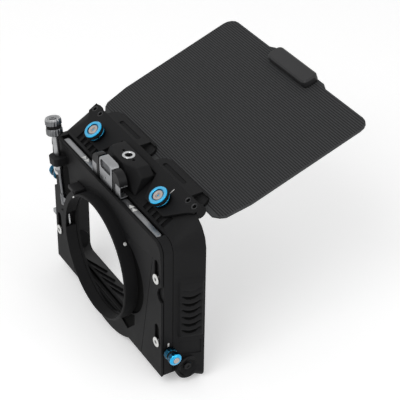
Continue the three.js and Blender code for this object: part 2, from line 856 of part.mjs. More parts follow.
function stageFrame() {
  const outline = bothSides([
    [0, body.bottom],
    ...arc(bodyHalfWidth - body.bottomRadius, body.bottom + body.bottomRadius, body.bottomRadius, -turn / 4, 0, 3),
    ...arc(bodyHalfWidth - body.topRadius, body.top - body.topRadius, body.topRadius, 0, turn / 4, 6),
    [0, body.top],
  ]);
  const blank = prism(outline, stageRear, stageFront, rearView);
  const channel = box(-channelHalfWidth, stageFloor, channelHalfWidth, body.top + overrun, stageRear + stage.skin,
    stageFront + overrun, rearView);
  const light = box(-lightHalfWidth, lightBottom, lightHalfWidth, lightTop, stageRear - overrun, stageFront,
    rearView);
  const notch = box(-stage.handleNotch.halfWidth, body.top - stage.handleNotch.drop, stage.handleNotch.halfWidth,
    body.top + overrun, stageRear - overrun, stageFront, rearView);
  const seats = [];
  for (const side of [-1, 1]) {
    for (const z of [stud.upper, stud.lower]) {
      seats.push(cylinder(side * studX, z, stud.shankRadius + clearance, stageRear - overrun,
        stageRear + stud.seatDepth, rearView, 16));
    }
  }
  const pinHole = (side, z) => cylinder(stageMiddle, z, pull.pinRadius + clearance, channelHalfWidth - overrun,
    bodyHalfWidth + overrun, side > 0 ? sideView : mirrored(sideView), 16);
  return cut(blank, channel, light, notch, seats, pinHole(1, pull.releaseZ), pinHole(-1, pull.lockZ), leverRoom());
}

function addStuds() {
  const level = plateRear - clearance;
  for (const [sideName, side] of [['left', -1], ['right', 1]]) {
    for (const [rowName, z] of [['upper', stud.upper], ['lower', stud.lower]]) {
      const head = cylinder(side * studX, z, stud.headRadius, level - stud.headThickness, level, rearView, 28);
      const shank = cylinder(side * studX, z, stud.shankRadius, level - clearance,
        stageRear + stud.seatDepth - clearance, rearView, 16);
      const eye = cylinder(side * studX, z, stud.eyeRadius, level - stud.headThickness - overrun,
        level - stud.headThickness / 2, rearView, 12);
      add(`stage_stud_${sideName}_${rowName}`, cut(join(head, shank), eye), white);
    }
  }
}

const pullSize = {
  radius: pull.radius,
  teeth: pull.teeth,
  knurl: pull.knurl,
  lower: pull.lower,
  neck: pull.neck,
  upper: pull.upper,
  neckRadius: pull.neckRadius,
  dish: pull.discThickness,
  dishRadius: pull.discRadius + clearance,
};

function addPullKnob(name, side, z) {
  const base = frame(new THREE.Vector3(0, stageMiddle, z), axisY, axisZ, axisX);
  const view = side > 0 ? base : mirrored(base);
  const start = bodyHalfWidth + pull.start;
  const knob = spool(pullSize, start, pull.pinRadius + clearance, view);
  add(`${name}_knob`, knob.solid, blue);
  add(`${name}_knob_ring`, seal(pull.neckRadius + clearance, pull.ringRadius, knob.lowerTop + clearance / 2,
    knob.upperBottom - clearance / 2, view), rubber);
  const discBottom = knob.upperTop - pull.discThickness + clearance;
  const disc = cylinder(0, 0, pull.discRadius, discBottom, knob.upperTop + clearance, view, 24);
  const pin = cylinder(0, 0, pull.pinRadius, bodyHalfWidth - pull.pinReach, discBottom + clearance, view, 16);
  add(`${name}_pin`, join(disc, pin), grey);
}

// The side lever turns in a slot in the stage's left wall, wide enough for its swing
const leverPivot = { x: -(bodyHalfWidth - lever.pivotInset), z: lever.z };
function leverRoom() {
  const half = lever.halfHeight + slideGap;
  const far = -(bodyHalfWidth + overrun);
  const spread = Math.tan(lever.swing) * (lever.pivotInset + overrun);
  const outline = [
    ...arc(leverPivot.x, leverPivot.z, half, -turn / 4, turn / 4, 8),
    [far, leverPivot.z + half],
    [far, leverPivot.z - half - spread],
  ];
  const depth = lever.thickness / 2 + slideGap;
  return prism(outline, stageMiddle - depth, stageMiddle + depth, rearView);
}

function addSideLever() {
  const tip = -(bodyHalfWidth + lever.reach);
  const half = lever.halfHeight;
  const outline = [
    ...arc(leverPivot.x, leverPivot.z, half, -turn / 4, turn / 4, 8),
    [tip, leverPivot.z + half * lever.tipShare],
    [tip, leverPivot.z - half * lever.tipShare],
  ];
  const depth = lever.thickness / 2;
  const blank = prism(outline, stageMiddle - depth, stageMiddle + depth, rearView);
  const eye = cylinder(leverPivot.x, leverPivot.z, lever.pinRadius + clearance, stageRear, stageFront, rearView, 16);
  add('side_lever', cut(blank, eye), grey);
  add('side_lever_pin', cylinder(leverPivot.x, leverPivot.z, lever.pinRadius, stageMiddle - depth - slideGap / 2,
    stageMiddle + depth + slideGap / 2, rearView, 16), steel);
}

// One cross section of the flared hood
function flareOutline(halfWidth, bottom, top, bottomRadius, topRadius) {
  return rounded([
    [halfWidth, bottom, bottomRadius],
    [halfWidth, top, topRadius],
    [-halfWidth, top, topRadius],
    [-halfWidth, bottom, bottomRadius],
  ], 8);
}

const flareRun = Math.hypot(hoodHalfWidth - bodyHalfWidth, hood.reach);
const flareLean = new THREE.Vector3((hoodHalfWidth - bodyHalfWidth) / flareRun, hood.reach / flareRun, 0);
const flareOut = new THREE.Vector3(flareLean.y, -flareLean.x, 0);
const flankView = frame(new THREE.Vector3(bodyHalfWidth, flareRear, 0), flareLean, axisZ, flareOut);

function hoodShell() {
  const base = flareOutline(bodyHalfWidth, body.bottom, body.top, body.bottomRadius, body.topRadius);
  const outer = loft([
    { points: base, level: hoodRear },
    { points: base, level: flareRear },
    {
      points: flareOutline(hoodHalfWidth, hoodBottom, hoodFrontTop, hood.frontBottomRadius,
        hood.frontTopRadius),
      level: flareFront,
    },
  ], rearView);
  const rear = hood.wallRear;
  const front = hood.wallFront;
  const inner = loft([
    {
      points: flareOutline(bodyHalfWidth - rear, body.bottom + rear, body.top - rear, body.bottomRadius,
        body.topRadius - rear),
      level: flareRear,
    },
    {
      points: flareOutline(hoodHalfWidth - front, hoodBottom + front, hoodFrontTop - front,
        hood.frontBottomRadius - front, hood.frontTopRadius - front),
      level: flareFront,
    },
  ], rearView);
  const mouth = prism(
    flareOutline(hoodHalfWidth - front, hoodBottom + front, hoodFrontTop - front,
      hood.frontBottomRadius - front, hood.frontTopRadius - front),
    flareFront - clearance / 3, flareFront + overrun, rearView,
  );
  const margin = hood.openingMargin;
  const opening = prism(
    roundedBox(-lightHalfWidth - margin, lightBottom - margin, lightHalfWidth + margin, lightTop + margin,
      hood.openingRadius),
    hoodRear - overrun, flareRear + clearance, rearView,
  );
  const fins = [];
  const ribs = [];
  const panels = [];
  for (const side of [-1, 1]) {
    for (let i = 0; i < fin.count; i += 1) {
      const x = side * (fin.first + i * fin.pitch);
      fins.push(box(x - fin.width / 2, fin.start, x + fin.width / 2, fin.start + fin.length, -fin.depth, overrun,
        slopeView));
    }
    const view = side > 0 ? flankView : mirrored(flankView);
    for (let i = 0; i < grip.ribs; i += 1) {
      const z = grip.top - i * grip.pitch;
      const fall = Math.tan(grip.lean) * grip.length;
      const end = grip.start + grip.length;
      ribs.push(prism([
        [grip.start, z - grip.width], [end, z - grip.width - fall], [end, z - fall], [grip.start, z],
      ], -hood.wallFront / 2, grip.rise, view));
    }
    panels.push(box(grip.start, grip.panelBottom, grip.start + grip.length, grip.panelTop, -grip.panelDepth,
      overrun, view));
    panels.push(lugRecess(side));
  }
  const shell = join(cut(outer, inner, mouth, opening, fins), ribs, lugBoss(1), lugBoss(-1), floorBaffles());
  return cut(shell, panels, threadWell(0), thumbHole(1), thumbHole(-1));
}

// The round lugs low on the hood's flanks
const lugFace = bodyHalfWidth + (flareLean.x / flareLean.y) * lug.forward + lug.standOff;
const lugView = frame(new THREE.Vector3(0, flareRear + lug.forward, lug.z), axisY, axisZ, axisX);
const lugSide = (side) => (side > 0 ? lugView : mirrored(lugView));
function lugBoss(side) {
  return cylinder(0, 0, lug.radius, lugFace - lug.thickness, lugFace, lugSide(side), 32);
}
function lugRecess(side) {
  return cylinder(0, 0, lug.recess, lugFace - lug.recessDepth, lugFace + overrun, lugSide(side), 28);
}
function addLugScrews() {
  for (const [name, side] of [['left', -1], ['right', 1]]) {
    const bottom = lugFace - lug.recessDepth + clearance;
    add(`hood_lug_screw_${name}`, socketHead(lugScrew.radius, bottom, bottom + lugScrew.thickness, lugScrew.socket,
      lugScrew.socketDepth, lugSide(side)), black);
  }
}

// Leaning ribs on the inside of the hood's floor, which break up glare
function floorBaffles() {
  const fall = (body.bottom - hoodBottom) / hood.reach;
  const run = Math.hypot(1, fall);
  const origin = new THREE.Vector3(0, flareRear, body.bottom + hood.wallRear);
  const along = new THREE.Vector3(0, 1 / run, -fall / run);
  const out = new THREE.Vector3(0, fall / run, 1 / run);
  const view = frame(origin, axisX, along, out);
  const shift = Math.tan(baffle.lean) * baffle.length;
  const ribs = [];
  for (const side of [-1, 1]) {
    for (let i = 0; i < baffle.count; i += 1) {
      const x = side * (bodyHalfWidth - baffle.inset - i * baffle.pitch);
      const { start } = baffle;
      ribs.push(prism([
        [x, start], [x + baffle.width, start],
        [x + baffle.width - side * shift, start + baffle.length], [x - side * shift, start + baffle.length],
      ], -hood.wallRear / 3, baffle.height, view));
    }
  }
  return ribs;
}

function thumbHole(side) {
  return cylinder(side * thumbX, thumb.v, thumb.shankRadius + clearance, -hood.wallRear * 2, overrun, slopeView, 16);
}

// Top block with its threaded insert
const blockThread = frame(new THREE.Vector3(0, block.threadY, blockTop), axisX, axisY, axisZ);
function threadWell(play) {
  return cylinder(0, 0, insert.radius + play, -insert.length, overrun * 2, blockThread, 28);
}

function topBlock() {
  const foot = body.top - overrun;
  const head = blockTop;
  const outlineAt = (halfWidth, front) => rounded([
    [-halfWidth, block.rear, block.corner / 2], [halfWidth, block.rear, block.corner / 2],
    [halfWidth, front, block.corner], [-halfWidth, front, block.corner],
  ], 3);
  const whole = loft([
    { points: outlineAt(block.footHalfWidth, block.footFront), level: foot },
    { points: outlineAt(block.halfWidth, block.front), level: head },
  ], planView);
  const under = box(-bodyHalfWidth, -bodyHalfWidth, bodyHalfWidth, bodyHalfWidth, -bodyHalfWidth * 2,
    clearance, slopeView);
  const pins = [-1, 1].map((side) => cylinder(side * block.pinX, 0, block.pinRadius, -block.pinDepth, overrun,
    blockThread, 12));
  return cut(whole, under, threadWell(clearance), pins);
}

function threadInsert() {
  const tube = cylinder(0, 0, insert.radius, -insert.length + clearance, insert.rise, blockThread, 28);
  return cut(tube, cylinder(0, 0, block.boreRadius, -insert.length, overrun, blockThread, 20));
}

// Flag bracket: a wing plate on the hood's slope, with ears that carry the hinge rod
function wingOutline() {
  return bothSides([
    [0, wing.strip],
    [wing.notchFront.x, wing.strip],
    [wing.notchWaist.x, wing.notchWaist.v],
    [wing.notchMiddle.x, wing.notchMiddle.v],
    [wing.notchRear.x, wing.rear],
    [wingHalfWidth - wing.heel.inset, wing.rear],
    [wingHalfWidth - wing.shoulder.inset, wing.shoulder.v],
    [wingHalfWidth, wing.flank.v],
    [wingHalfWidth, wing.front],
    [0, wing.front],
  ]);
}

const slopeSide = frame(slopeOrigin, slopeAlong, slopeOut, axisX);
function hingeCheek(inner, outer) {
  const outline = [
    ...arc(hingeV, -hinge.drop, hinge.earRadius, -turn / 2 + hood.slope, hood.slope, 16),
    [hingeV + hinge.earRadius * slopeCos, wingUnder + clearance],
    [hingeV - hinge.earRadius, wingUnder + clearance],
  ];
  return prism(outline, inner, outer, slopeSide);
}

function flagBracket() {
  const blank = prism(wingOutline(), wingUnder, wingTop, slopeView);
  const hoodEdge = box(flareRear, body.bottom, flareFront + clearance, body.top * 2, -bodyHalfWidth, bodyHalfWidth,
    sideView);
  const cheeks = [
    cut(hingeCheek(wingHalfWidth - hinge.earThickness, wingHalfWidth), hoodEdge),
    cut(hingeCheek(-wingHalfWidth, -wingHalfWidth + hinge.earThickness), hoodEdge),
  ];
  const web = [
    ...arc(hingeV, -hinge.drop, hinge.barrelRadius, -turn / 2, 0, 10),
    [hingeV + hinge.barrelRadius, wingUnder + clearance],
    [hingeV - hinge.barrelRadius, wingUnder + clearance],
  ];
  const centre = cut(prism(web, -knuckle.halfWidth, knuckle.halfWidth, slopeSide), hoodEdge);
  const rodHole = cylinder(hingeV, -hinge.drop, hinge.pinRadius + hinge.play, -wingHalfWidth + hinge.earThickness / 3,
    wingHalfWidth - hinge.earThickness / 3, slopeSide, 16);
  const holes = [];
  for (const side of [-1, 1]) {
    for (const x of [screwOuterX, screwInnerX]) {
      const v = wing.front - wingScrew.back;
      holes.push(cylinder(side * x, v, wingScrew.headRadius + clearance / 2, wingTop - wingScrew.length,
        wingTop + overrun, slopeView, 20));
    }
    holes.push(thumbHole(side));
  }
  return cut(join(blank, cheeks, centre), rodHole, holes);
}

function addBracket() {
  add('flag_bracket', flagBracket(), black);
  const rod = cylinder(hingeV, -hinge.drop, hinge.pinRadius, -wingHalfWidth + hinge.earThickness / 3 + clearance,
    wingHalfWidth - hinge.earThickness / 3 - clearance, slopeSide, 16);
  add('hinge_rod', rod, steel);
  for (const [name, side] of [['left', -1], ['right', 1]]) {
    for (const [place, x] of [['outer', screwOuterX], ['inner', screwInnerX]]) {
      const view = slopeView.clone().multiply(
        new THREE.Matrix4().makeTranslation(side * x, wing.front - wingScrew.back, 0),
      );
      const bottom = wingTop - wingScrew.length + clearance;
      add(`bracket_screw_${name}_${place}`, socketHead(wingScrew.headRadius, bottom, wingTop - clearance / 3,
        wingScrew.socket, wingScrew.length / 2, view), blackPlastic);
    }
  }
  const thumbSize = { ...thumb };
  for (const [name, side] of [['left', -1], ['right', 1]]) {
    const view = slopeView.clone().multiply(new THREE.Matrix4().makeTranslation(side * thumbX, thumb.v, 0));
    const start = wingTop + clearance;
    const knob = spool(thumbSize, start, thumb.shankRadius + clearance, view);
    add(`thumb_knob_${name}`, knob.solid, blue);
    add(`thumb_knob_ring_${name}`, seal(thumb.neckRadius + clearance, thumb.ringRadius, knob.lowerTop + clearance / 2,
      knob.upperBottom - clearance / 2, view), rubber);
    const headBottom = knob.upperTop - thumb.dish + clearance;
    const head = socketHead(thumb.headRadius, headBottom, headBottom + thumb.headThickness, thumb.socket,
      thumb.socketDepth, view);
    const shank = cylinder(0, 0, thumb.shankRadius, -thumb.shankReach, headBottom + clearance, view, 16);
    add(`thumb_screw_${name}`, join(head, shank), grey);
  }
}

// Flag: two hinge arms under the bracket's front edge, a thin panel and a finger grip
function flagArm(side) {
  const under = -flag.below + clearance;
  const low = hinge.barrelRadius;
  const profile = [
    ...arc(0, 0, low, turn / 4, turn * 0.6, 8),
    [arm.toe - flag.rear - clearance * 2, under + low / 2],
    [flag.rear, under],
    [arm.toe, under],
    [arm.toe, under + arm.toeRise],
    [arm.crest, under + arm.crestRise],
    [arm.shoulderV, arm.shoulderW],
  ];
  const [from, to] = side > 0 ? [arm.inner, armOuter] : [-armOuter, -arm.inner];
  const blank = prism(profile, from, to, flagSide);
  const hole = cylinder(0, 0, hinge.pinRadius + hinge.play, from - overrun, to + overrun, flagSide, 16);
  const crestLevel = under + arm.crestRise;
  const span = side > 0 ? arm.slotRight : arm.slotLeft;
  const slotRise = (arm.shoulderW - crestLevel) * ((arm.crest - arm.slotV) / (arm.crest - arm.shoulderV));
  const slot = prism(
    roundedBox(span.from, arm.slotV - arm.slotWidth / 2, span.to, arm.slotV + arm.slotWidth / 2,
      arm.slotWidth / 2 - clearance, 5),
    crestLevel + slotRise - arm.slotDepth, crestLevel + slotRise + overrun, flagView,
  );
  const stepEnd = side > 0 ? armOuter : -arm.inner;
  const step = box(stepEnd - arm.notchLength, low, stepEnd + overrun, arm.crest,
    crestLevel - arm.notchDepth, crestLevel + arm.crest, flagView);
  const plan = prism(rounded([
    [from, -arm.toe, 0], [to, -arm.toe, 0], [to, arm.toe, arm.corner], [from, arm.toe, arm.corner],
  ]), -arm.toe, arm.toe, flagView);
  return cut(blank.intersect(plan), hole, slot, step);
}

function flagOutline() {
  return bothSides([
    [0, flag.rear],
    ...rounded([
      [flag.halfWidth - flag.rearInset, flag.rear, flag.heelRadius],
      [flag.halfWidth - flag.heel.inset, flag.heel.v, flag.heelRadius],
      [flag.halfWidth - flag.shoulder.inset, flag.shoulder.v, flag.heelRadius],
      [flag.halfWidth - flag.flank.inset, flag.flank.v, flag.heelRadius],
      [flag.halfWidth, flag.front, flag.cornerRadius],
      [flag.tongueFoot, flag.front, 1],
      [flag.tongueHalfWidth, flag.tongue, 1],
      [0, flag.tongue, 0],
      [0, flag.rear, 0],
    ], 4).slice(0, -1),
  ]);
}

function addFlag() {
  add('flag_arm_left', flagArm(-1), blackPlastic);
  add('flag_arm_right', flagArm(1), blackPlastic);
  const top = -flag.below;
  add('flag_panel', prism(flagOutline(), top - flag.thickness, top, flagView), graphite);
  const outline = roundedBox(-flagGrip.halfWidth, flagGrip.rear, flagGrip.halfWidth, flagGrip.front,
    flagGrip.cornerRadius);
  const inner = roundedBox(-flagGrip.halfWidth + flagGrip.bevel, flagGrip.rear + flagGrip.bevel,
    flagGrip.halfWidth - flagGrip.bevel, flagGrip.front - flagGrip.bevel, flagGrip.cornerRadius - flagGrip.bevel);
  const bottom = top + clearance;
  const crown = bottom + flagGrip.thickness;
  add('flag_grip', loft([
    { points: outline, level: bottom },
    { points: outline, level: crown - flagGrip.bevel },
    { points: inner, level: crown },
  ], flagView), blackPlastic);
  const backTop = top - flag.thickness - clearance;
  add('flag_grip_backing', prism(outline, backTop - flagGrip.backing, backTop, flagView), blackPlastic);
}

// Tray: an open frame that holds the filter, with a bar, a handle and two squeeze latches on top
function trayFrame() {
  const blank = box(-trayHalfWidth, trayBottom, trayHalfWidth, trayTop, trayRear, trayFront, rearView);
  const seat = box(-seatHalfWidth, seatBottom, seatHalfWidth, seatTop, trayFront - filter.thickness - filter.play,
    trayFront + overrun, rearView);
  const light = box(-lightHalfWidth, lightBottom, lightHalfWidth, lightTop, trayRear - overrun, trayFront, rearView);
  return cut(blank, seat, light);
}

function trayBar() {
  const half = tray.depth / 2;
  const middle = (trayRear + trayFront) / 2;
  const end = trayHalfWidth - half;
  return prism([
    ...arc(end, middle, half, -turn / 4, turn / 4, 8),
    ...arc(-end, middle, half, turn / 4, turn * 0.75, 8),
  ], barBottom, barTop, planView);
}

function trayHandle() {
  const recessTop = handleTop - handle.recessTop;
  const recessBottom = handleTop - handle.recessBottom;
  const outlineFrom = (foot) => rounded([
    [-handle.halfWidth, foot, 0], [handle.halfWidth, foot, 0],
    [handle.halfWidth, handleTop, handle.cornerRadius], [-handle.halfWidth, handleTop, handle.cornerRadius],
  ], 4);
  const blank = join(
    prism(outlineFrom(barTop + clearance), handle.rear, handle.front, rearView),
    prism(outlineFrom(barTop + handle.headRise), handle.rear, handle.headFront, rearView),
  );
  const recess = prism(
    roundedBox(-handle.recessHalfWidth, recessBottom, handle.recessHalfWidth, recessTop,
      (recessTop - recessBottom) / 2 - clearance, 6),
    handle.rear - overrun, handle.rear + handle.recessDepth, rearView,
  );
  const hole = cylinder(0, handleTop - handle.holeDrop, handle.holeRadius, handle.rear - overrun,
    handle.rear + handle.recessDepth, rearView, 12);
  const edgeAngle = frame(new THREE.Vector3(0, handle.headFront, handleTop), axisX,
    new THREE.Vector3(0, Math.SQRT1_2, Math.SQRT1_2), new THREE.Vector3(0, -Math.SQRT1_2, Math.SQRT1_2));
  const bevelDepth = handle.edge * Math.SQRT1_2;
  const reach = handle.halfWidth * 2;
  const frontEdge = prism([
    [-reach, -bevelDepth], [reach, -bevelDepth], [reach, overrun], [-reach, overrun],
  ], -overrun * 2, overrun * 2, edgeAngle);
  return cut(blank, recess, hole, frontEdge);
}

function latchLever(side) {
  const inner = handle.halfWidth + latch.gap;
  const outer = inner + latch.width;
  const foot = barTop + clearance;
  const half = [
    [inner, foot],
    [inner + latch.stem, foot],
    [inner + latch.stem, latchHeadFoot],
    [outer, latchHeadFoot],
    ...arc(outer - latch.radius, latchTop - latch.radius, latch.radius, 0, turn / 4, 8),
    [inner, latchTop],
  ];
  return prism(half.map(([x, z]) => [side * x, z]), latch.rear, latch.front, rearView);
}

// A channel beside the handle that backs the latch: a wall at the rear, with a ledge above and a lip below
function latchChannel(side) {
  const inner = handle.halfWidth + latch.gap + latch.stem + catcher.gap;
  const outer = handle.halfWidth + latch.gap + latch.width;
  const top = latchHeadFoot - clearance;
  const wall = rectangle(latch.rear, channelFoot, latch.rear + catcher.wall, top);
  const ledge = rectangle(latch.rear, top - catcher.ledge, latch.front, top);
  const lip = rectangle(latch.rear, channelFoot, latch.front, channelFoot + catcher.ledge);
  const [from, to] = side > 0 ? [inner, outer] : [-outer, -inner];
  return join([wall, ledge, lip].map((outline) => prism(outline, from, to, sideView)));
}

function addTray() {
  add('tray_frame', trayFrame(), black);
  add('tray_bar', trayBar(), grey);
  add('tray_handle', trayHandle(), grey);
  for (const [name, side] of [['left', -1], ['right', 1]]) {
    add(`tray_latch_${name}`, latchLever(side), blackPlastic);
    add(`latch_channel_${name}`, latchChannel(side), grey);
  }
}

addClamp();
add('stage_frame', stageFrame(), black);
addStuds();
addPullKnob('release', 1, pull.releaseZ);
addPullKnob('lock', -1, pull.lockZ);
addSideLever();
add('hood', hoodShell(), black);
addLugScrews();
add('top_block', topBlock(), black);
add('thread_insert', threadInsert(), steel);
addBracket();
addFlag();
addTray();

const matteBox = new THREE.Group();
matteBox.name = 'matte_box';
matteBox.add(...nodes);

export default matteBox;
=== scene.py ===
import math

import bmesh
import bpy
from mathutils import Matrix, Vector


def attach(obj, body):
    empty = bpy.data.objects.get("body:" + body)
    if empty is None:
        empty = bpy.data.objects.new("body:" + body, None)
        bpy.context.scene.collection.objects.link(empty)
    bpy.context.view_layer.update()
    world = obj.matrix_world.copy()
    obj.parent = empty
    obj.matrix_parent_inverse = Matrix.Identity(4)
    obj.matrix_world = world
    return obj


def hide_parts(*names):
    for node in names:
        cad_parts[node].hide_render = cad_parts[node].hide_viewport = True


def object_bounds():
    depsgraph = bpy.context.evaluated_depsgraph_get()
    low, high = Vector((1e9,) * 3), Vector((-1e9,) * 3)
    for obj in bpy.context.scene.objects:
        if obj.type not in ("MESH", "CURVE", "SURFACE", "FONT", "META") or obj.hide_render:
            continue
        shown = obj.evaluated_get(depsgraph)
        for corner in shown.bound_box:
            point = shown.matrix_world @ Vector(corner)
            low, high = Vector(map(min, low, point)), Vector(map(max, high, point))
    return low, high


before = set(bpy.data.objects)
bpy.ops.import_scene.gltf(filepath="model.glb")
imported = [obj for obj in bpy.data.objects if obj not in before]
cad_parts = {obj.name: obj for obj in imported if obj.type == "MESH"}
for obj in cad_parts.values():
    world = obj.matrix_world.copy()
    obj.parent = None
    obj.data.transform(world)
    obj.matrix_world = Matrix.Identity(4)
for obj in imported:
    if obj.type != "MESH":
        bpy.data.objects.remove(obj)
cad_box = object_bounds()
scene = bpy.context.scene
MM = 0.001
MILLIMETRES = Matrix.Scale(MM, 4)
X, Y, Z = Vector((1, 0, 0)), Vector((0, 1, 0)), Vector((0, 0, 1))


# Building materials

def ink(code):
    """An sRGB hex colour as linear RGBA."""
    def linear(v):
        return v / 12.92 if v <= 0.04045 else ((v + 0.055) / 1.055) ** 2.4
    return tuple(linear(int(code[i:i + 2], 16) / 255) for i in (1, 3, 5)) + (1.0,)


def add(tree, kind, settings=None, **inputs):
    """Add a node: its properties, then its inputs by name (or _0, _1 by number), linked or set."""
    node = tree.nodes.new(kind)
    for key, value in (settings or {}).items():
        setattr(node, key, value)
    for key, value in inputs.items():
        number = key[1:]
        socket = node.inputs[int(number) if number.isdigit() else key.replace("_", " ")]
        if isinstance(value, bpy.types.NodeSocket):
            tree.links.new(value, socket)
        else:
            socket.default_value = value
    return node


def blank(name, roughness, metallic=0.0, ior=1.5, specular=0.5):
    """A material with its shader and output, and its Object coordinates."""
    mat = bpy.data.materials.new(name)
    mat.use_nodes = True
    tree = mat.node_tree
    tree.nodes.clear()
    shader = add(tree, "ShaderNodeBsdfPrincipled", Metallic=metallic, IOR=ior, Roughness=roughness,
                 Specular_IOR_Level=specular)
    add(tree, "ShaderNodeOutputMaterial", Surface=shader.outputs[0])
    return mat, tree, shader, add(tree, "ShaderNodeTexCoord").outputs["Object"]


def lit_edges(tree, radius, turned_by, most):
    """The normal softened over edges of a radius in mm, and how far those edges are lightened as a painted
    highlight.
    """
    soft = add(tree, "ShaderNodeBevel", {"samples": 4}, Radius=radius * MM)
    face = add(tree, "ShaderNodeNewGeometry")
    turn = add(tree, "ShaderNodeVectorMath", {"operation": "DOT_PRODUCT"}, _0=soft.outputs[0],
               _1=face.outputs["Normal"])
    # Painted highlight: the edges' colour is lifted towards the second colour.
    edge = add(tree, "ShaderNodeMapRange", Value=turn.outputs["Value"], From_Min=0.99,
               From_Max=turned_by, To_Min=0.0, To_Max=most)
    return soft.outputs[0], edge.outputs[0]


def coloured(tree, shader, marks, edge, base, mottle_and_edge_light, reach):
    """From `base` towards the second colour by its marks and by a painted highlight on its edges, and darker
    in hollows of so many mm as painted shade.
    """
    total = add(tree, "ShaderNodeMath", {"operation": "ADD", "use_clamp": True}, _0=marks, _1=edge)
    tint = add(tree, "ShaderNodeMix", {"data_type": "RGBA"}, _0=total.outputs[0], _6=ink(base),
               _7=ink(mottle_and_edge_light))
    # Painted shade: ambient occlusion darkens the colour in hollows.
    occlusion_shade = add(tree, "ShaderNodeAmbientOcclusion", {"samples": 6}, Color=tint.outputs[2],
                 Distance=reach * MM)
    tree.links.new(occlusion_shade.outputs["Color"], shader.inputs["Base Color"])


def moulded(name, base, mottle_and_edge_light, roughness, grain, depth, ior=1.5, specular=0.5, highlight_strength=0.3, shade_reach=4.0):
    """A moulded plastic: grain of so many mm, faint haze, a painted highlight on its edges, painted shade in
    hollows.
    """
    mat, tree, shader, place = blank(name, roughness, ior=ior, specular=specular)
    fine = add(tree, "ShaderNodeTexNoise", Vector=place, Scale=1 / (grain * MM), Detail=2.0)
    broad = add(tree, "ShaderNodeTexNoise", Vector=place, Scale=1 / (24 * MM), Detail=3.0)
    soft, edge = lit_edges(tree, 0.4, 0.8, highlight_strength)
    haze = add(tree, "ShaderNodeMapRange", Value=broad.outputs[0], From_Min=0.35, From_Max=0.75,
               To_Min=0.0, To_Max=0.16)
    speck = add(tree, "ShaderNodeMapRange", Value=fine.outputs[0], From_Min=0.3, From_Max=0.7,
                To_Min=-0.1, To_Max=0.14)
    marks = add(tree, "ShaderNodeMath", {"operation": "ADD"}, _0=haze.outputs[0], _1=speck.outputs[0])
    coloured(tree, shader, marks.outputs[0], edge, base, mottle_and_edge_light, shade_reach)
    gloss = add(tree, "ShaderNodeMapRange", Value=broad.outputs[0], From_Min=0.3, From_Max=0.75,
                To_Min=roughness - 0.05, To_Max=roughness + 0.06)
    tree.links.new(gloss.outputs[0], shader.inputs["Roughness"])
    bump = add(tree, "ShaderNodeBump", Strength=0.7, Distance=depth * MM, Height=fine.outputs[0],
               Normal=soft)
    tree.links.new(bump.outputs[0], shader.inputs["Normal"])
    return mat


def machined(name, base, mottle_and_edge_light, roughness, axis, coat=0.0):
    """A turned metal, its rings round the axis of a stand, with a painted highlight on its edges, painted
    shade in hollows and perhaps a sealed coat.
    """
    mat, tree, shader, place = blank(name, roughness, metallic=1.0)
    shader.inputs["Coat Weight"].default_value = coat
    shader.inputs["Coat Roughness"].default_value = 0.2
    inward = axis.inverted()
    centred = add(tree, "ShaderNodeMapping", {"vector_type": "POINT"}, Vector=place,
                  Location=inward.to_translation(), Rotation=inward.to_euler(), Scale=inward.to_scale())
    # Tool rings 0.3 mm apart, coarser than a lathe cuts them, so that they show.
    rings = add(tree, "ShaderNodeTexWave", {"wave_type": "RINGS", "rings_direction": "Z"},
                Vector=centred.outputs[0], Scale=0.31 / 0.3, Distortion=0.4, Detail=1.0)
    blot = add(tree, "ShaderNodeTexNoise", Vector=place, Scale=1 / (4 * MM), Detail=3.0)
    soft, edge = lit_edges(tree, 0.25, 0.85, 0.55)
    patch = add(tree, "ShaderNodeMapRange", Value=blot.outputs[0], From_Min=0.4, From_Max=0.7,
                To_Min=0.0, To_Max=0.12)
    coloured(tree, shader, patch.outputs[0], edge, base, mottle_and_edge_light, 3)
    gloss = add(tree, "ShaderNodeMapRange", Value=blot.outputs[0], From_Min=0.3, From_Max=0.7,
                To_Min=roughness - 0.05, To_Max=roughness + 0.05)
    tree.links.new(gloss.outputs[0], shader.inputs["Roughness"])
    bump = add(tree, "ShaderNodeBump", Strength=0.5, Distance=0.004 * MM, Height=rings.outputs[1],
               Normal=soft)
    tree.links.new(bump.outputs[0], shader.inputs["Normal"])
    return mat


# Places on the object, in millimetres

def stand(origin, up, side=X):
    """A matrix that sets millimetres round the Z axis up on `origin`, along `up`."""
    up = Vector(up).normalized()
    side = (Vector(side) - up * up.dot(side)).normalized()
    turn = Matrix((side, up.cross(side), up)).transposed().to_4x4()
    return MILLIMETRES @ Matrix.Translation(origin) @ turn


def leaning(degrees):
    """The directions along and out of a plane that rises forwards."""
    angle = math.radians(degrees)
    return Vector((0, math.cos(angle), math.sin(angle))), Vector((0, -math.sin(angle), math.cos(angle)))


# The hood from its rear rim: how far it reaches forwards, its half width, top and corner radius there,
# how much wider and taller its front is, and how much its flank's own face flares.
HOOD_REAR, HOOD_REACH = 21.2, 20
REAR_HALF_WIDTH, REAR_TOP, REAR_CORNER = 86, 62, 9
FLARE, RISE, FLANK_FLARE = 6.7, 13, 6.73
SLOPE_FOOT, SLOPE_LEAN = Vector((0, HOOD_REAR, REAR_TOP)), 33
slope_along, slope_out = leaning(SLOPE_LEAN)


def on_slope(x, along):
    """A stand on the hood's slope, so far across and up it."""
    return stand(SLOPE_FOOT + X * x + slope_along * along, slope_out)


# The foot and direction of the clamp screw, the middle of the stage's thickness where the two pulled
# knobs sit, and the middles of the thread insert and of the hood's lugs.
CLAMP_FOOT, CLAMP_UP = Vector((-55.125, 5, -10.416)), Vector((-0.18567, 0, 0.98261))
STAGE_MIDDLE, RELEASE_Z, LOCK_Z = 15.05, -33, 19
INSERT_Y = 30.7
LUG_Y, LUG_Z = 29.4, -50.8
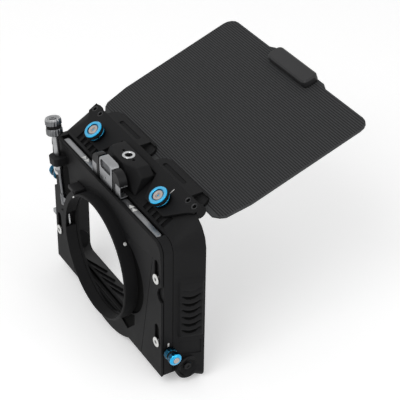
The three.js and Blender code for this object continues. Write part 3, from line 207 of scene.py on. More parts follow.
# How far the thumb screws stand from the middle and up the slope, and the foot and lean of the flag.
THUMB_X, THUMB_ALONG = 49.7, 13.1
FLAG_FOOT, FLAG_LEAN = (0, 44.086, 73.762), 20.4
clamp_stand = stand(CLAMP_FOOT, CLAMP_UP)
release_stand = stand((0, STAGE_MIDDLE, RELEASE_Z), X, Z)
lock_stand = stand((0, STAGE_MIDDLE, LOCK_Z), -X, Z)
thumb_stands = {"left": on_slope(-THUMB_X, THUMB_ALONG), "right": on_slope(THUMB_X, THUMB_ALONG)}
insert_stand = stand((0, INSERT_Y, 0), Z)
flag_stand = stand(FLAG_FOOT, leaning(FLAG_LEAN)[1])

# A stand on each flank of the hood: X runs forwards along it, Y up and Z out of it.
flank_stands = {}
for side in (1, -1):
    run = Vector((FLANK_FLARE * side, HOOD_REACH, 0)).normalized()
    out = Vector((run.y * side, -run.x * side, 0))
    turn = Matrix((run, Z, out)).transposed().to_4x4()
    flank_stands[side] = MILLIMETRES @ Matrix.Translation((REAR_HALF_WIDTH * side, HOOD_REAR, 0)) @ turn


# Finishes of this matte box

# Glass-filled nylon, moulded in an eroded tool: the grain swallows the gloss, so it is a dull soft black.
black = moulded("glass_filled_nylon", "#101011", "#2c2c2d", 0.62, 0.35, 0.03, ior=1.53, specular=0.13)
# The same nylon in the pockets' floors, darker and duller: painted shade for their depth, and it hardly
# shines at all.
shade_black = moulded("nylon_painted_shade_floor", "#080808", "#161616", 0.8, 0.5, 0.04, specular=0.05, shade_reach=6.0)
# The same nylon between the fins, a shade duller: rougher, and darker as painted shade in the pockets there.
shaded_black = moulded("nylon_painted_shade_fins", "#0d0d0e", "#222223", 0.7, 0.4, 0.03, ior=1.53,
                       specular=0.1)
# The same nylon on the housing's squared end, a shade paler: painted light, where it stands in the open.
painted_light_black = moulded("nylon_housing_end_painted_light", "#1c1c1d", "#333334", 0.58, 0.35, 0.03, ior=1.53,
                     specular=0.2, shade_reach=0.8)
# The same nylon from a finer tool, where fingers press: smoother, so it carries a broad sheen.
satin = moulded("satin_nylon", "#121213", "#303031", 0.45, 0.25, 0.015, ior=1.53, specular=0.17)
# The same again on the grip of the flag, a little smoother: the palest of the blacks, a painted sheen.
sheen_satin = moulded("satin_nylon_painted_sheen", "#2b2b2c", "#454546", 0.4, 0.25, 0.012, ior=1.53,
                     specular=0.2)
# Graphite ABS sheet, pressed between ribbed rolls: dark grey, and the ribs give it fine stripes.
sheet = moulded("graphite_abs", "#3a3b3c", "#4c4d4e", 0.6, 0.3, 0.02, ior=1.53, specular=0.16,
                shade_reach=1.0)
# The floors of the sheet's grooves, pressed rough: duller than the ribs, and darker as painted shade.
groove_shade_sheet = moulded("graphite_abs_groove_painted_shade", "#323233", "#3c3c3d", 0.8, 0.3, 0.03, specular=0.08,
                       shade_reach=1.0)
# Nitrile rubber rings, moulded: the dullest black here.
rubber = moulded("nitrile_rubber", "#0d0d0d", "#252525", 0.7, 0.2, 0.01, ior=1.52, specular=0.15)
# Acetal, turned from white rod: milky and slightly waxy.
pale = moulded("acetal", "#dededc", "#f0f0ee", 0.4, 0.4, 0.008, ior=1.48)
# White screen-printing ink: flat and a little rough.
ink_film = moulded("screen_printing_ink", "#dededc", "#f0f0ee", 0.7, 0.2, 0.004, specular=0.3)
# Stainless steel, turned and left bright: clear glints.
steel = machined("stainless_steel", "#b9babb", "#ededed", 0.28, insert_stand)
# Steel screws blackened in hot oxide: they stay metal, so they are greyer than the plastic.
dark_steel = machined("black_oxide_steel", "#363637", "#6a6a6b", 0.45, insert_stand)
# Aluminium, turned, then anodised in a neutral grey: satin rings and a bright painted highlight on its
# edges.
grey = machined("grey_anodised_aluminium", "#68696b", "#d9dadb", 0.34, clamp_stand)
# The same where the last cut was left bright, on the clamp knob's top and the screw's shank.
bright_grey = machined("grey_anodised_bright", "#9b9c9d", "#e6e6e6", 0.3, clamp_stand)
# The same metal, milled from plate and anodised, in the tray's bar and handle: broader and paler.
plate_grey = machined("grey_anodised_plate", "#8e8f91", "#d9dadb", 0.38, insert_stand)
# The same in the handle's window, where the mill left it dull: darker as painted shade of the recess, with
# no bright edge.
window_shade_grey = machined("grey_anodised_window_painted_shade", "#58595b", "#7b7c7e", 0.5, insert_stand)
# Aluminium, faced and clear-sealed, in the discs of the knobs: warm grey and satin.
disc_grey = machined("natural_anodised_aluminium", "#b0a7a2", "#d8d2cf", 0.4, insert_stand)
# Aluminium, turned, dyed blue in the anodising bath and sealed: saturated on its walls and paler where it is
# faced; a deep teal copy paints the shade in the flutes and under the rings.
blue = {}
for knob, axis in (("release", release_stand), ("lock", lock_stand), *thumb_stands.items()):
    blue[knob] = (machined("blue_anodised_wall_" + knob, "#17a9e0", "#58dcff", 0.26, axis, coat=0.6),
                  machined("blue_anodised_face_" + knob, "#41a9d6", "#78d4f4", 0.34, axis, coat=0.8),
                  machined("blue_anodised_painted_shade_" + knob, "#0a4058", "#2f9fca", 0.3, axis, coat=0.15))


# Making pieces

def keep(bm, name, body, finish, stands_for=(), smooth=34):
    """Make a finished bmesh a piece that moves with its body, in one finish or in several by number."""
    for face in bm.faces:
        face.smooth = True
    for edge in bm.edges:
        edge.smooth = edge.is_manifold and edge.calc_face_angle() < math.radians(smooth)
    mesh = bpy.data.meshes.new(name)
    bm.to_mesh(mesh)
    bm.free()
    for one in finish if isinstance(finish, tuple) else (finish,):
        mesh.materials.append(one)
    piece = bpy.data.objects.new(name, mesh)
    scene.collection.objects.link(piece)
    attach(piece, body)
    if stands_for:
        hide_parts(*stands_for)
    return piece


def placed(bm, matrix=MILLIMETRES):
    """Set a bmesh in millimetres on its stand, or where it is."""
    bmesh.ops.transform(bm, matrix=matrix, verts=bm.verts)
    return bm


def block(size, middle):
    """A box in mm, of a size, round its middle."""
    bm = bmesh.new()
    bmesh.ops.create_cube(bm, size=1)
    bmesh.ops.scale(bm, vec=size, verts=bm.verts)
    bmesh.ops.translate(bm, vec=middle, verts=bm.verts)
    return bm


def turned(profile, steps):
    """A closed profile of (radius, height) in mm, spun round the Z axis."""
    bm = bmesh.new()
    verts = [bm.verts.new((r, 0, z)) for r, z in profile]
    edges = [bm.edges.new(pair) for pair in zip(verts, verts[1:])]
    bmesh.ops.spin(bm, geom=verts + edges, cent=(0, 0, 0), axis=(0, 0, 1), angle=math.tau,
                   steps=steps, use_merge=True)
    bmesh.ops.remove_doubles(bm, verts=bm.verts, dist=1e-4)
    bmesh.ops.recalc_face_normals(bm, faces=bm.faces)
    return bm


def drum(radius, low, high, matrix=MILLIMETRES, steps=32):
    """A closed cylinder between two heights of a stand."""
    return placed(turned([(0, low), (radius, low), (radius, high), (0, high)], steps), matrix)


def fluted(bm, low, high, outside, count, depth):
    """Draw flutes into the skin between two heights, outside a radius."""
    for v in bm.verts:
        if low - 1e-4 <= v.co.z <= high + 1e-4 and v.co.xy.length > outside:
            wave = 0.5 - 0.5 * math.cos(count * math.atan2(v.co.y, v.co.x))
            v.co.xy *= 1 - depth * wave / v.co.xy.length
    return bm


def marked(bm, test):
    """Give the faces that pass a test, with their middles, the second finish of their piece."""
    for face in bm.faces:
        face.material_index = int(test(face, face.calc_center_median()))
    return bm


def faced(bm, shade_below=-1):
    """Mark a turned piece's faced ends for its second finish, and its walls up to a height for its third,
    which is painted shade.
    """
    for face in bm.faces:
        in_shade = face.calc_center_median().z < shade_below
        face.material_index = 1 if abs(face.normal.z) > 0.95 else 2 * int(in_shade)
    return bm


def sharp(edge, degrees=35):
    """Whether an edge turns by more than an angle."""
    return edge.is_manifold and edge.calc_face_angle() > math.radians(degrees)


def span(edge, axis):
    """How far an edge runs along an axis."""
    return abs(getattr(edge.verts[0].co - edge.verts[1].co, axis))


def lowest(edge):
    """The height of an edge's lower end."""
    return min(v.co.z for v in edge.verts)


def rounded(bm, test, width, segments, overlap=True):
    """Round the edges that pass a test, over a width."""
    bmesh.ops.bevel(bm, geom=[e for e in bm.edges if test(e)], offset=width, offset_type="OFFSET",
                    segments=segments, profile=0.5, affect="EDGES", clamp_overlap=overlap, material=-1)
    return bm


def sliced(bm, point, out):
    """Cut away what lies outside a plane, and close the cut."""
    cut = bmesh.ops.bisect_plane(bm, geom=bm.verts[:] + bm.edges[:] + bm.faces[:], plane_co=point,
                                 plane_no=out, clear_outer=True, dist=1e-5)["geom_cut"]
    bmesh.ops.contextual_create(bm, geom=[e for e in cut if isinstance(e, bmesh.types.BMEdge)])
    return bm


def carved(bm, *cutters):
    """Take closed shapes out of another."""
    rough = []
    for part in (bm, *cutters):
        mesh = bpy.data.meshes.new("carving")
        part.to_mesh(mesh)
        part.free()
        rough.append(bpy.data.objects.new("carving", mesh))
        scene.collection.objects.link(rough[-1])
    for cutter in rough[1:]:
        step = rough[0].modifiers.new("Cut", "BOOLEAN")
        step.operation, step.solver, step.object = "DIFFERENCE", "EXACT", cutter
    result = bmesh.new()
    result.from_mesh(rough[0].evaluated_get(bpy.context.evaluated_depsgraph_get()).to_mesh())
    for ob in rough:
        mesh = ob.data
        bpy.data.objects.remove(ob)
        bpy.data.meshes.remove(mesh)
    return result


def raised(bm, faces, height):
    """Extrude faces along Z into a closed wall, with their normals outwards."""
    grown = bmesh.ops.extrude_face_region(bm, geom=faces, use_keep_orig=height < 0)["geom"]
    bmesh.ops.translate(bm, verts=[v for v in grown if isinstance(v, bmesh.types.BMVert)],
                        vec=(0, 0, height))
    bmesh.ops.recalc_face_normals(bm, faces=bm.faces)
    return bm


# Mouldings and castings carried over from the frame, with their edges eased

MERGE = 0.003 * MM


def merged(node):
    """A CAD node's loose triangles as one closed skin."""
    bm = bmesh.new()
    bm.from_mesh(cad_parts[node].data)
    bmesh.ops.remove_doubles(bm, verts=bm.verts, dist=MERGE)
    return bm


def eased(node, body, finish, shape=None):
    """A CAD node with its sharp edges rounded as a mould leaves them, where there is room."""
    bm = merged(node)
    if shape:
        shape(bm)
    width = 0.22 * MM
    room = {v: min(e.calc_length() for e in v.link_edges) for v in bm.verts}
    rounded(bm, lambda e: sharp(e) and min(room[v] for v in e.verts) > 1.6 * width, width, 2,
            overlap=False)
    piece = keep(bm, node + "_dressed", body, finish, (node,))
    piece.modifiers.new("Flats", "WEIGHTED_NORMAL").keep_sharp = True


def shade_floors(bm):
    """Give the floors of a plate's pockets their own finish, a painted shade."""
    pocket_floor = 10.5
    marked(bm, lambda face, middle: face.normal.y < -0.9 and abs(middle.y / MM - pocket_floor) < 0.08)


def round_ear(bm):
    """Round the ear that holds the clamp screw, all but its bore, and darken the pockets' floors with
    painted shade.
    """
    ear_front, bore = 8.6, 3.4

    def on_ear(vert):
        off = vert.co / MM - CLAMP_FOOT
        return vert.co.y / MM < ear_front and (off - CLAMP_UP * off.dot(CLAMP_UP)).length > bore
    rounded(bm, lambda e: sharp(e) and all(on_ear(v) for v in e.verts), 1.9 * MM, 6)
    bmesh.ops.remove_doubles(bm, verts=bm.verts, dist=MERGE)
    shade_floors(bm)


def plain_flanks(bm):
    """Lay the straight ribs of the hood's flanks flat, for the scooped grips that take their place."""
    forwards, upwards, proud = (0.5, 19.5), (-25, 31), (0.05, 1.3)
    for matrix in flank_stands.values():
        back = matrix.inverted()
        for v in bm.verts:
            spot = back @ v.co
            if all(low < at < high for at, (low, high) in zip(spot, (forwards, upwards, proud))):
                spot.z = 0
                v.co = matrix @ spot
    bmesh.ops.remove_doubles(bm, verts=bm.verts, dist=MERGE)


def fuller_corners(bm):
    """Draw the hood's upper corners out to a tighter round towards the front."""
    solid_corner, drawn_corner = 36, 22
    for v in bm.verts:
        p = v.co / MM
        t = min(max((p.y - HOOD_REAR) / HOOD_REACH, 0), 1)
        loose, tighter = REAR_CORNER + (solid_corner - REAR_CORNER) * t, (solid_corner - drawn_corner) * t
        spot = Vector((abs(p.x) - REAR_HALF_WIDTH - FLARE * t + loose, p.z - REAR_TOP - RISE * t + loose))
        if t < 0.01 or min(spot) <= 0 or spot.length < loose - 3:
            continue
        way = spot.normalized()
        small, large = sorted(way)
        reach = loose / large
        if small / large > tighter / loose:
            middle = tighter * (small + large)
            reach = middle + math.sqrt(middle ** 2 - 2 * tighter ** 2 + (loose - tighter) ** 2)
        step = way * (reach - loose)
        v.co += Vector((math.copysign(step.x, p.x), 0, step.y)) * MM


def cupped_lugs(bm):
    """Open the lugs' round recesses into shallow cups."""
    hood_side, rim_height, recess, mouth, floor = 86, 89.4, 5.7, 7.3, 4.7
    for v in bm.verts:
        p = v.co / MM
        arm = Vector((p.y - LUG_Y, p.z - LUG_Z))
        if abs(p.x) > hood_side and abs(arm.length - recess) < 0.1:
            arm *= (mouth if abs(p.x) > rim_height else floor) / arm.length
            v.co.y, v.co.z = (LUG_Y + arm.x) * MM, (LUG_Z + arm.y) * MM


def hood_shape(bm):
    """Plain flanks, fuller corners, cups in the lugs, and painted shade on the floors of the pockets between
    the fins.
    """
    plain_flanks(bm)
    fuller_corners(bm)
    cupped_lugs(bm)

    highest, deepest = -0.9, -1.6

    def between_fins(face, middle):
        level = (middle / MM - SLOPE_FOOT).dot(slope_out)
        return face.normal.dot(slope_out) > 0.98 and deepest < level < highest
    marked(bm, between_fins)


for node, body, slot, finish, shape in (
        ("clamp_plate", "clamp_back", "matte_black", (black, shade_black), shade_floors),
        ("back_plate", "clamp_back", "matte_black", (black, shade_black), round_ear),
        ("guide_pin", "clamp_back", "bright_steel", steel, None),
        ("clamp_nut", "clamp_slider", "bright_steel", grey, None),
        ("clamp_shoe", "clamp_slider", "matte_black", black, None),
        ("stage_frame", "stage", "matte_black", black, None),
        ("side_lever_pin", "stage", "bright_steel", steel, None),
        ("hood", "stage", "matte_black", (black, shaded_black), hood_shape),
        ("flag_bracket", "stage", "matte_black", black, None),
        ("hinge_rod", "stage", "bright_steel", steel, None),
        ("side_lever", "side_lever", "grey_anodised", plate_grey, None),
        ("tray_frame", "tray", "matte_black", black, None),
        ("latch_channel_left", "tray", "grey_anodised", plate_grey, None),
        ("latch_channel_right", "tray", "grey_anodised", plate_grey, None),
        ("tray_latch_left", "latch_left", "satin_black", satin, None),
        ("tray_latch_right", "latch_right", "satin_black", satin, None),
        ("flag_arm_left", "flag", "matte_black", black, None),
        ("flag_arm_right", "flag", "matte_black", black, None),
        ("flag_grip_backing", "flag", "matte_black", black, None)):
    eased(node, body, finish, shape)


# The tray's bar, with round ends

BAR_SIZE, BAR_Y, BAR_TOP = (145.6, 5.7, 3.2), 15.2, 60.5
bm = block(BAR_SIZE, (0, BAR_Y, BAR_TOP - BAR_SIZE[2] / 2))
rounded(bm, lambda e: span(e, "z") > 1, 2.4, 8)
rounded(bm, lambda e: lowest(e) > BAR_TOP - 0.5, 0.7, 4)
keep(placed(bm), "tray_rail", "tray", plate_grey, ("tray_bar",))


# The tray's handle, with a window sunk in its face and a small hole below it

HANDLE_SIZE, HANDLE_REAR, HANDLE_MIDDLE = (19.4, 6.6, 21.4), 11.6, 71.2
WINDOW_SIZE, WINDOW_MIDDLE, HOLE_Z = (15.4, 2, 7.4), 76.8, 67.4
bm = block(HANDLE_SIZE, (0, HANDLE_REAR + HANDLE_SIZE[1] / 2, HANDLE_MIDDLE))
rounded(bm, lambda e: span(e, "y") > 1 and lowest(e) > HANDLE_MIDDLE, 3.6, 8)
rounded(bm, lambda e: sharp(e, 60), 0.4, 3)
window = block(WINDOW_SIZE, (0, HANDLE_REAR, WINDOW_MIDDLE))
rounded(window, lambda e: span(e, "y") > 1 and lowest(e) > WINDOW_MIDDLE, 2.7, 8)
rounded(window, lambda e: span(e, "y") > 1 and lowest(e) < WINDOW_MIDDLE, 2, 8)
bm = carved(placed(bm), placed(window), drum(0.7, -1, 1, stand((0, HANDLE_REAR, HOLE_Z), Y)))
# The window's floor takes the second finish, a painted shade.
marked(bm, lambda face, middle: face.normal.y < -0.95 and middle.y / MM > HANDLE_REAR + 0.6)
keep(bm, "tray_pull", "tray", (plate_grey, window_shade_grey), ("tray_handle",))


# The faceted block on the hood's slope, bored for the thread bush and for a pin on each side of it

BLOCK_SIZE, BLOCK_Y, BLOCK_TOP, PIN_X = (49.2, 16.2, 24), 30, 81.1, 7.6
bm = block(BLOCK_SIZE, (0, BLOCK_Y, BLOCK_TOP - BLOCK_SIZE[2] / 2))
for side in (1, -1):
    sliced(bm, (18.4 * side, 0, BLOCK_TOP), (0.66 * side, 0, 0.75))
    sliced(bm, (18 * side, 27.2, BLOCK_TOP), (0.37 * side, -0.86, 0.37))
sliced(bm, (0, 37.6, BLOCK_TOP), (0, 0.97, 0.1))
bmesh.ops.remove_doubles(bm, verts=bm.verts, dist=1e-3)
bmesh.ops.recalc_face_normals(bm, faces=bm.faces)
rounded(bm, lambda e: sharp(e, 20) and lowest(e) > 60, 1.5, 5)
sliced(bm, SLOPE_FOOT + slope_out * 0.1, -slope_out)
bm = carved(placed(bm), drum(4.85, 73.2, 90, insert_stand, 64),
            *(drum(1.1, 78.1, 90, stand((x, INSERT_Y, 0), Z)) for x in (PIN_X, -PIN_X)))
keep(bm, "mount_block", "stage", black, ("top_block",))


# The squared end of the clamp slider's housing

CAP_SIZE, CAP_MIDDLE = (11.2, 10.2, 3.3), (-35.7, 5.5, 39.9)
bm = rounded(block(CAP_SIZE, CAP_MIDDLE), sharp, 0.7, 4)
# The cap's paler finish is painted light.
keep(placed(bm), "housing_cap", "clamp_back", painted_light_black)


# Scooped grips on the hood's flanks: u runs forwards along the flank and z up it

GROOVES, GROOVE_PITCH, GROOVE_TOP, GROOVE_SAG, GROOVE_LOWEST = 6, 6.1, 12.6, 0.055, 9.8
GRIP_RISE, GRIP_SUNK, GRIP_DEPTH = 1.9, 0.04, 1.2
GRIP_LENGTH, GRIP_HEIGHT, GRIP_MIDDLE = 20, 53.6, (10.5, 3)
# Where the grip rises from the flank, where its grooves fade out and where the painted shade in their
# bottoms does, each from nothing to the full amount.
GRIP_REAR, GRIP_FRONT, GRIP_FOOT, GRIP_HEAD = (0.7, 3.4), (20.3, 18.4), (-23.6, -20), (29.6, 25.5)
GROOVE_REAR, GROOVE_FRONT, GROOVE_HEAD = (2.6, 5), (19.0, 16.6), (-1.6, -1.0)
SHADE_REAR, SHADE_FRONT = (3.2, 8), (18.2, 13)


def eases(value, start, end):
    """0 on the far side of start, 1 past end, and soft between."""
    t = min(max((value - start) / (end - start), 0), 1)
    return t * t * (3 - 2 * t)


def groove_number(u, z):
    """How many pitches a spot lies below the top groove, which sags in an arc."""
    return (GROOVE_TOP + GROOVE_SAG * (u - GROOVE_LOWEST) ** 2 - z) / GROOVE_PITCH


def grip_height(u, z):
    """The grip's rise over the flank: soft at its border, and scooped at each groove."""
    turns = groove_number(u, z)
    inside = eases(u, *GRIP_REAR) * eases(u, *GRIP_FRONT) * eases(z, *GRIP_FOOT) * eases(z, *GRIP_HEAD)
    ribbed = (eases(turns, *GROOVE_HEAD) * eases(turns, GROOVES - 0.2, GROOVES - 0.5)
              * eases(u, *GROOVE_REAR) * eases(u, *GROOVE_FRONT))
    scoop = (1 - abs(math.sin(math.pi * turns)) ** 0.7) * (0.35 if turns < -0.5 else 1.0)
    return GRIP_RISE * inside * (1 - 0.97 * scoop * ribbed)


def in_groove(face, middle):
    """Whether a face lies in the painted shade at the bottom of a groove, which narrows at its ends."""
    turns = groove_number(middle.x, middle.y)
    in_shade = abs(turns - round(turns)) < 0.2 * eases(middle.x, *SHADE_REAR) * eases(middle.x, *SHADE_FRONT)
    return in_shade and -0.5 < turns < GROOVES - 0.5


for side, word in ((1, "right"), (-1, "left")):
    bm = bmesh.new()
    bmesh.ops.create_grid(bm, x_segments=36, y_segments=150, size=0.5)
    for v in bm.verts:
        u, z = GRIP_MIDDLE[0] + v.co.x * GRIP_LENGTH, GRIP_MIDDLE[1] + v.co.y * GRIP_HEIGHT
        v.co = (u, z, grip_height(u, z) - GRIP_SUNK)
    # The grooves' bottoms take the second finish, a painted shade.
    marked(bm, in_groove)
    raised(bm, bm.faces[:], -GRIP_DEPTH)
    placed(bm, flank_stands[side])
    bmesh.ops.recalc_face_normals(bm, faces=bm.faces)
    keep(bm, "hood_grip_" + word, "stage", (black, shade_black))


# The flag's thumb screws: a blue wheel over a rubber band, and a disc with a socket on the screw

for side, axis in thumb_stands.items():
    wheel = turned([(0, 2.8), (6.1, 2.8), (6.7, 3.2), (7.2, 3.7), (7.2, 5.3), (6.9, 5.7), (5.9, 5.7),
                    (5.9, 8.6), (6.9, 8.6), (7.35, 8.9), (7.35, 9.6), (6.75, 10.2), (5.1, 10.2),
                    (4.8, 10.0), (4.8, 8.9), (0, 8.9)], 144)
    fluted(wheel, low=3.7, high=5.3, outside=7.0, count=48, depth=0.22)
    fluted(wheel, low=8.9, high=9.6, outside=7.2, count=48, depth=0.16)
    # The wheel's walls below 5.4 mm take the third finish, a painted shade.
    keep(placed(faced(wheel, shade_below=5.4), axis), "thumb_wheel_" + side, "thumb_" + side,
         blue[side], ("thumb_knob_" + side,))
    band = turned([(5.95, 5.72), (6.8, 5.72), (7.15, 5.95), (7.35, 6.6), (7.35, 7.7), (7.1, 8.35),
                   (6.7, 8.58), (5.95, 8.58), (5.95, 5.72)], 64)
    keep(placed(band, axis), "thumb_band_" + side, "thumb_" + side, rubber,
         ("thumb_knob_ring_" + side,))
    screw = turned([(0, -1.6), (1.3, -1.6), (1.6, -1.3), (1.6, 8.7), (4.0, 8.7), (4.0, 9.45),
                    (3.75, 9.7), (2.1, 9.7), (1.85, 9.5), (1.75, 9.2), (0.95, 9.15), (0.9, 8.0),
                    (0, 8.0)], 60)
    keep(placed(screw, axis), "thumb_stem_" + side, "thumb_" + side, disc_grey,
         ("thumb_screw_" + side,))


# The release knob and the lock knob, pulled out against their springs

for name, axis in (("release", release_stand), ("lock", lock_stand)):
    body = name + "_pull"
    wheel = turned([(0, 87), (3.9, 87), (4.9, 87.9), (4.9, 90.1), (4.4, 91.0), (3.6, 91.1),
                    (3.6, 92.7), (4.4, 92.8), (4.9, 93.4), (4.9, 96.3), (4.7, 96.8), (4.1, 97.5),
                    (3.1, 97.9), (2.6, 97.9), (2.4, 97.7), (0, 97.7)], 120)
    fluted(wheel, low=87.6, high=90.4, outside=4.5, count=12, depth=0.32)
    fluted(wheel, low=93.3, high=96.4, outside=4.5, count=12, depth=0.3)
    # The walls below 95 mm take the third finish, a painted shade.
    keep(placed(faced(wheel, shade_below=95), axis), name + "_wheel", body, blue[name],
         (name + "_knob",))
    band = turned([(3.5, 91.15), (3.9, 91.15), (4.2, 91.35), (4.3, 91.9), (4.2, 92.45),
                   (3.9, 92.65), (3.5, 92.65), (3.5, 91.15)], 56)
    keep(placed(band, axis), name + "_band", body, rubber, (name + "_knob_ring",))
    pin = turned([(0, 80), (1.2, 80), (1.5, 80.3), (1.5, 97.0), (2.35, 97.0), (2.35, 98.0),
                  (2.2, 98.15), (0, 98.15)], 48)
    keep(placed(faced(pin), axis), name + "_stem", body, (steel, disc_grey),
         (name + "_pin",))


# The clamp's knob, band and screw

wheel = turned([(0, 80.4), (5.6, 80.4), (6.35, 81.2), (6.35, 85.4), (5.9, 85.9), (4.7, 86.0),
                (4.7, 88.5), (5.9, 88.6), (6.35, 89.1), (6.35, 92.4), (5.6, 93.9), (5.0, 94.0),
                (4.5, 93.6), (3.9, 93.1), (0, 92.9)], 136)
fluted(wheel, low=81.1, high=85.5, outside=6.1, count=17, depth=0.5)
fluted(wheel, low=89.0, high=92.7, outside=6.1, count=17, depth=0.5)
marked(wheel, lambda face, middle: middle.z > 92.6)
keep(placed(wheel, clamp_stand), "clamp_wheel", "clamp_screw", (grey, bright_grey),
     ("clamp_knob",))
band = turned([(4.6, 86.05), (5.3, 86.05), (5.75, 86.3), (5.95, 87.25), (5.75, 88.2), (5.3, 88.45),
               (4.6, 88.45), (4.6, 86.05)], 60)
keep(placed(band, clamp_stand), "clamp_band", "clamp_screw", rubber,
     ("clamp_knob_ring",))
rod = turned([(0, 27.1), (1.1, 27.1), (1.35, 27.4), (1.35, 47.0), (2.9, 52.0), (2.9, 56.9),
              (2.45, 57.4), (2.45, 92.4), (2.6, 92.6), (2.6, 93.5), (2.3, 93.8), (1.2, 93.8),
              (1.0, 93.4), (1.0, 92.2), (0, 92.2)], 48)
marked(rod, lambda face, middle: 52 < middle.z < 92)
keep(placed(rod, clamp_stand), "clamp_rod", "clamp_screw", (grey, bright_grey),
     ("clamp_screw",))


# Studs in the back plate's slots, and the small screws of the bracket and the lugs

STUD_X, STUD_HEIGHTS = 79.2, {"upper": 30.1, "lower": -26.6}
WING_ROW, WING_X = 25.7, {"outer": 74.9, "inner": 66.3}
for side, way in (("left", -1), ("right", 1)):
    for height, z in STUD_HEIGHTS.items():
        stud = turned([(0, -14.2), (1.4, -14.2), (1.4, -9.1), (3.6, -9.1), (3.9, -8.8), (3.9, -8.5),
                       (3.6, -8.2), (1.55, -8.2), (1.4, -8.35), (1.3, -10.4), (0, -10.4)], 64)
        keep(placed(stud, stand((STUD_X * way, 0, z), -Y)), f"stud_{side}_{height}", "stage",
             pale, (f"stage_stud_{side}_{height}",))

    for row, x in WING_X.items():
        screw = turned([(0, 1.0), (2.6, 1.0), (2.6, 2.3), (2.5, 2.4), (1.75, 2.3), (1.35, 1.95),
                        (1.25, 1.7), (1.2, 1.15), (0, 1.15)], 48)
        # The socket takes the second finish, a painted shade in the hollow.
        marked(screw, lambda face, middle: middle.xy.length < 1.3 and middle.z > 1.05)
        keep(placed(screw, on_slope(x * way, WING_ROW)), f"wing_screw_{side}_{row}", "stage",
             (dark_steel, shade_black), (f"bracket_screw_{side}_{row}",))

    hexagon = turned([(0, 88.2), (3.3, 88.2), (3.3, 89.2), (2.9, 89.5), (1.5, 89.5), (1.3, 88.9),
                      (0, 88.9)], 6)
    keep(placed(hexagon, stand((0, LUG_Y, LUG_Z), X * way, Z)), f"lug_screw_{side}", "stage",
         satin, (f"hood_lug_screw_{side}",))


# The steel thread bush in the top block

bush = turned([(2.8, 73.4), (4.8, 73.4), (4.8, 81.3), (4.5, 81.6), (3.1, 81.6), (2.8, 81.3),
               (2.8, 73.4)], 64)
keep(placed(bush, insert_stand), "thread_bush", "stage", steel, ("thread_insert",))


# The flag's sheet, laid flat while ribs are pressed in its upper face, and its grip

RIB_PITCH, RIB_DEPTH, FIRST_RIB, RIBS, RIM = 1.85, 0.26, 9.0, 69, 0.9
RIB_LINES = (0, 0.42, 0.5, 0.92)
FLOOR_FROM, FLOOR_TO = 0.47, 0.95
SHEET_FOOT, FOOT_GROWTH = 7.6, 1.3

bm = placed(merged("flag_panel"), flag_stand.inverted())
bmesh.ops.dissolve_limit(bm, angle_limit=math.radians(1), verts=bm.verts, edges=bm.edges)
for v in bm.verts:
    if v.co.y < SHEET_FOOT:
        v.co.y -= FOOT_GROWTH
field = [f for f in bm.faces if f.normal.z > 0.99]
bmesh.ops.inset_region(bm, faces=field, thickness=RIM, use_even_offset=True)
for face in field:
    face.material_index = 1
for share in (n + line for n in range(RIBS) for line in RIB_LINES):
    part = [f for f in bm.faces if f.material_index]
    part += list({e for f in part for e in f.edges}) + list({v for f in part for v in f.verts})
    bmesh.ops.bisect_plane(bm, geom=part, plane_co=(0, FIRST_RIB + share * RIB_PITCH, 0),
                           plane_no=(0, 1, 0), dist=1e-4)


def on_floor(face, middle):
    """Whether a face of the ribbed field is the floor of a groove, which takes the painted shade."""
    share = (middle.y - FIRST_RIB) / RIB_PITCH
    return face.material_index and 0 < share < RIBS and FLOOR_FROM < share % 1 < FLOOR_TO


marked(bm, on_floor)
for v in {v for f in bm.faces if f.material_index for v in f.verts}:
    v.co.z -= RIB_DEPTH
keep(placed(bm, flag_stand), "flag_sheet", "flag", (sheet, groove_shade_sheet),
     ("flag_panel",), smooth=8)
# The grip's pale finish is a painted sheen.
eased("flag_grip", "flag", sheen_satin)


# Printed index marks

INK_SUNK, INK_THICKNESS = 0.02, 0.07


def printed(name, body, outline, matrix):
    """A mark of screen-printing ink, its corners given on a stand, sunk a hair into the piece."""
    bm = bmesh.new()
    face = bm.faces.new([bm.verts.new((x, y, -INK_SUNK)) for x, y in outline])
    keep(placed(raised(bm, [face], INK_THICKNESS), matrix), name, body, ink_film)


def strip(length, width):
    """The corners of a plain stripe."""
    x, y = length / 2, width / 2
    return [(-x, -y), (x, -y), (x, y), (-x, y)]


DOT_RADIUS, DOT_STEPS = 1.35, 32
dot = [(DOT_RADIUS * math.cos(math.tau * n / DOT_STEPS), DOT_RADIUS * math.sin(math.tau * n / DOT_STEPS))
       for n in range(DOT_STEPS)]
spoke = Vector((36.09, 0, 33.05)).normalized()
printed("index_dot", "clamp_back", dot, stand(spoke * 49 + Y * 7.6, spoke))
printed("release_index", "stage", strip(1.4, 3.4), stand((86, 15.1, -27.3), X, Y))
printed("thumb_index", "stage", strip(0.7, 4.6), on_slope(49.55, 22.1) @ Matrix.Translation((0, 0, 2.5)))
printed("ring_index", "clamp_back", strip(3.6, 1.1), stand((-31.2, 0, 36.1), -Y, (0.755, 0, 0.656)))
for name, x, way in (("left", -38.6, 1), ("right", 33.6, -1)):
    arrow = [(-2.2 * way, -2.3), (2.2 * way, 0), (-2.2 * way, 2.3)]
    for number, shift in ((1, -2.3), (2, 2.3)):
        printed(f"tray_arrow_{name}_{number}", "tray", arrow, stand((x + shift, BAR_Y, BAR_TOP), Z))


# Floor and backdrop: white paper, which the camera and the glossy blacks see as bright

FLOOR_HALF, FLOOR_GLOW, SKY_FILL = 6, 0.32, 0.55
bm = bmesh.new()
bmesh.ops.create_grid(bm, x_segments=1, y_segments=1, size=FLOOR_HALF)
bmesh.ops.translate(bm, verts=bm.verts, vec=(0, 0, cad_box[0][2]))
mesh = bpy.data.meshes.new("floor")
bm.to_mesh(mesh)
bm.free()
floor = bpy.data.objects.new("floor", mesh)
scene.collection.objects.link(floor)
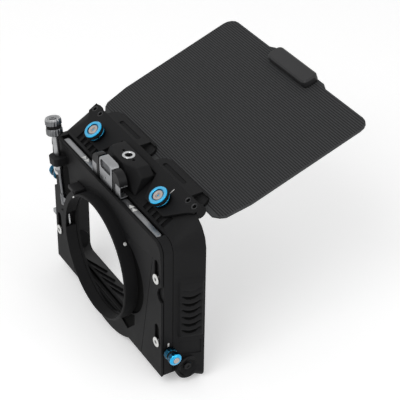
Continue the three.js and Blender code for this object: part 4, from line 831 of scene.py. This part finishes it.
# Uncoated paper, calendered: matt white with the faintest mottle.
paper, tree, shader, place = blank("white_paper", 0.9)
mottle = add(tree, "ShaderNodeTexNoise", Vector=place, Scale=300.0)
tint = add(tree, "ShaderNodeMix", {"data_type": "RGBA"}, _0=mottle.outputs[0], _6=ink("#f4f4f4"),
           _7=ink("#f8f8f8"))
tree.links.new(tint.outputs[2], shader.inputs["Base Color"])
rays = add(tree, "ShaderNodeLightPath")
seen = add(tree, "ShaderNodeMath", {"operation": "MAXIMUM"}, _0=rays.outputs["Is Camera Ray"],
           _1=rays.outputs["Is Glossy Ray"])
glow = add(tree, "ShaderNodeMath", {"operation": "MULTIPLY"}, _0=seen.outputs[0], _1=FLOOR_GLOW)
tree.links.new(glow.outputs[0], shader.inputs["Emission Strength"])
shader.inputs["Emission Color"].default_value = (1, 1, 1, 1)
mesh.materials.append(paper)

world = bpy.data.worlds.new("studio")
scene.world = world
world.use_nodes = True
tree = world.node_tree
tree.nodes.clear()
rays = add(tree, "ShaderNodeLightPath")
seen = add(tree, "ShaderNodeMath", {"operation": "MAXIMUM"}, _0=rays.outputs["Is Camera Ray"],
           _1=rays.outputs["Is Transmission Ray"])
seen = add(tree, "ShaderNodeMath", {"operation": "MAXIMUM"}, _0=seen.outputs[0],
           _1=rays.outputs["Is Glossy Ray"])
level = add(tree, "ShaderNodeMapRange", Value=seen.outputs[0], From_Min=0.0, From_Max=1.0,
            To_Min=SKY_FILL, To_Max=1.0)
sky = add(tree, "ShaderNodeBackground", Color=(1, 1, 1, 1), Strength=level.outputs[0])
add(tree, "ShaderNodeOutputWorld", Surface=sky.outputs[0])


# Light: a broad key from the rear left and above, and a fill from the right, in metres and watts

LIT_SPOT, LAMP_SIDE = Vector((0, 0.06, 0.02)), 0.9
for name, spot, power in (("key", (0.5, -0.9, 1.3), 9.0), ("fill", (1.3, 0.5, 0.7), 3.0)):
    lamp = bpy.data.lights.new(name, "AREA")
    lamp.size = LAMP_SIDE
    lamp.energy = power
    holder = bpy.data.objects.new(name, lamp)
    holder.location = spot
    holder.rotation_euler = (Vector(spot) - LIT_SPOT).to_track_quat("Z", "Y").to_euler()
    scene.collection.objects.link(holder)


# Camera, as fitted to the photograph: its place in metres, its turn round Z and its small roll

CAMERA_SPOT, CAMERA_LENS = (0.7397, -0.3554, 0.6162), 123.81
yaw, roll = math.radians(58.876), math.radians(1.001)
back = Vector((0.705, -0.4257, 0.5669)).normalized()
right = Vector((math.cos(yaw), math.sin(yaw), 0))
right = (right - back * right.dot(back)).normalized()
up = back.cross(right)
right, up = right * math.cos(roll) + up * math.sin(roll), up * math.cos(roll) - right * math.sin(roll)
lens = bpy.data.cameras.new("camera")
lens.sensor_width = 36
lens.lens = CAMERA_LENS
camera = bpy.data.objects.new("camera", lens)
turn = Matrix((right, up, back)).transposed().to_4x4()
camera.matrix_world = Matrix.Translation(CAMERA_SPOT) @ turn
scene.collection.objects.link(camera)
scene.camera = camera
scene.view_settings.view_transform = "Standard"
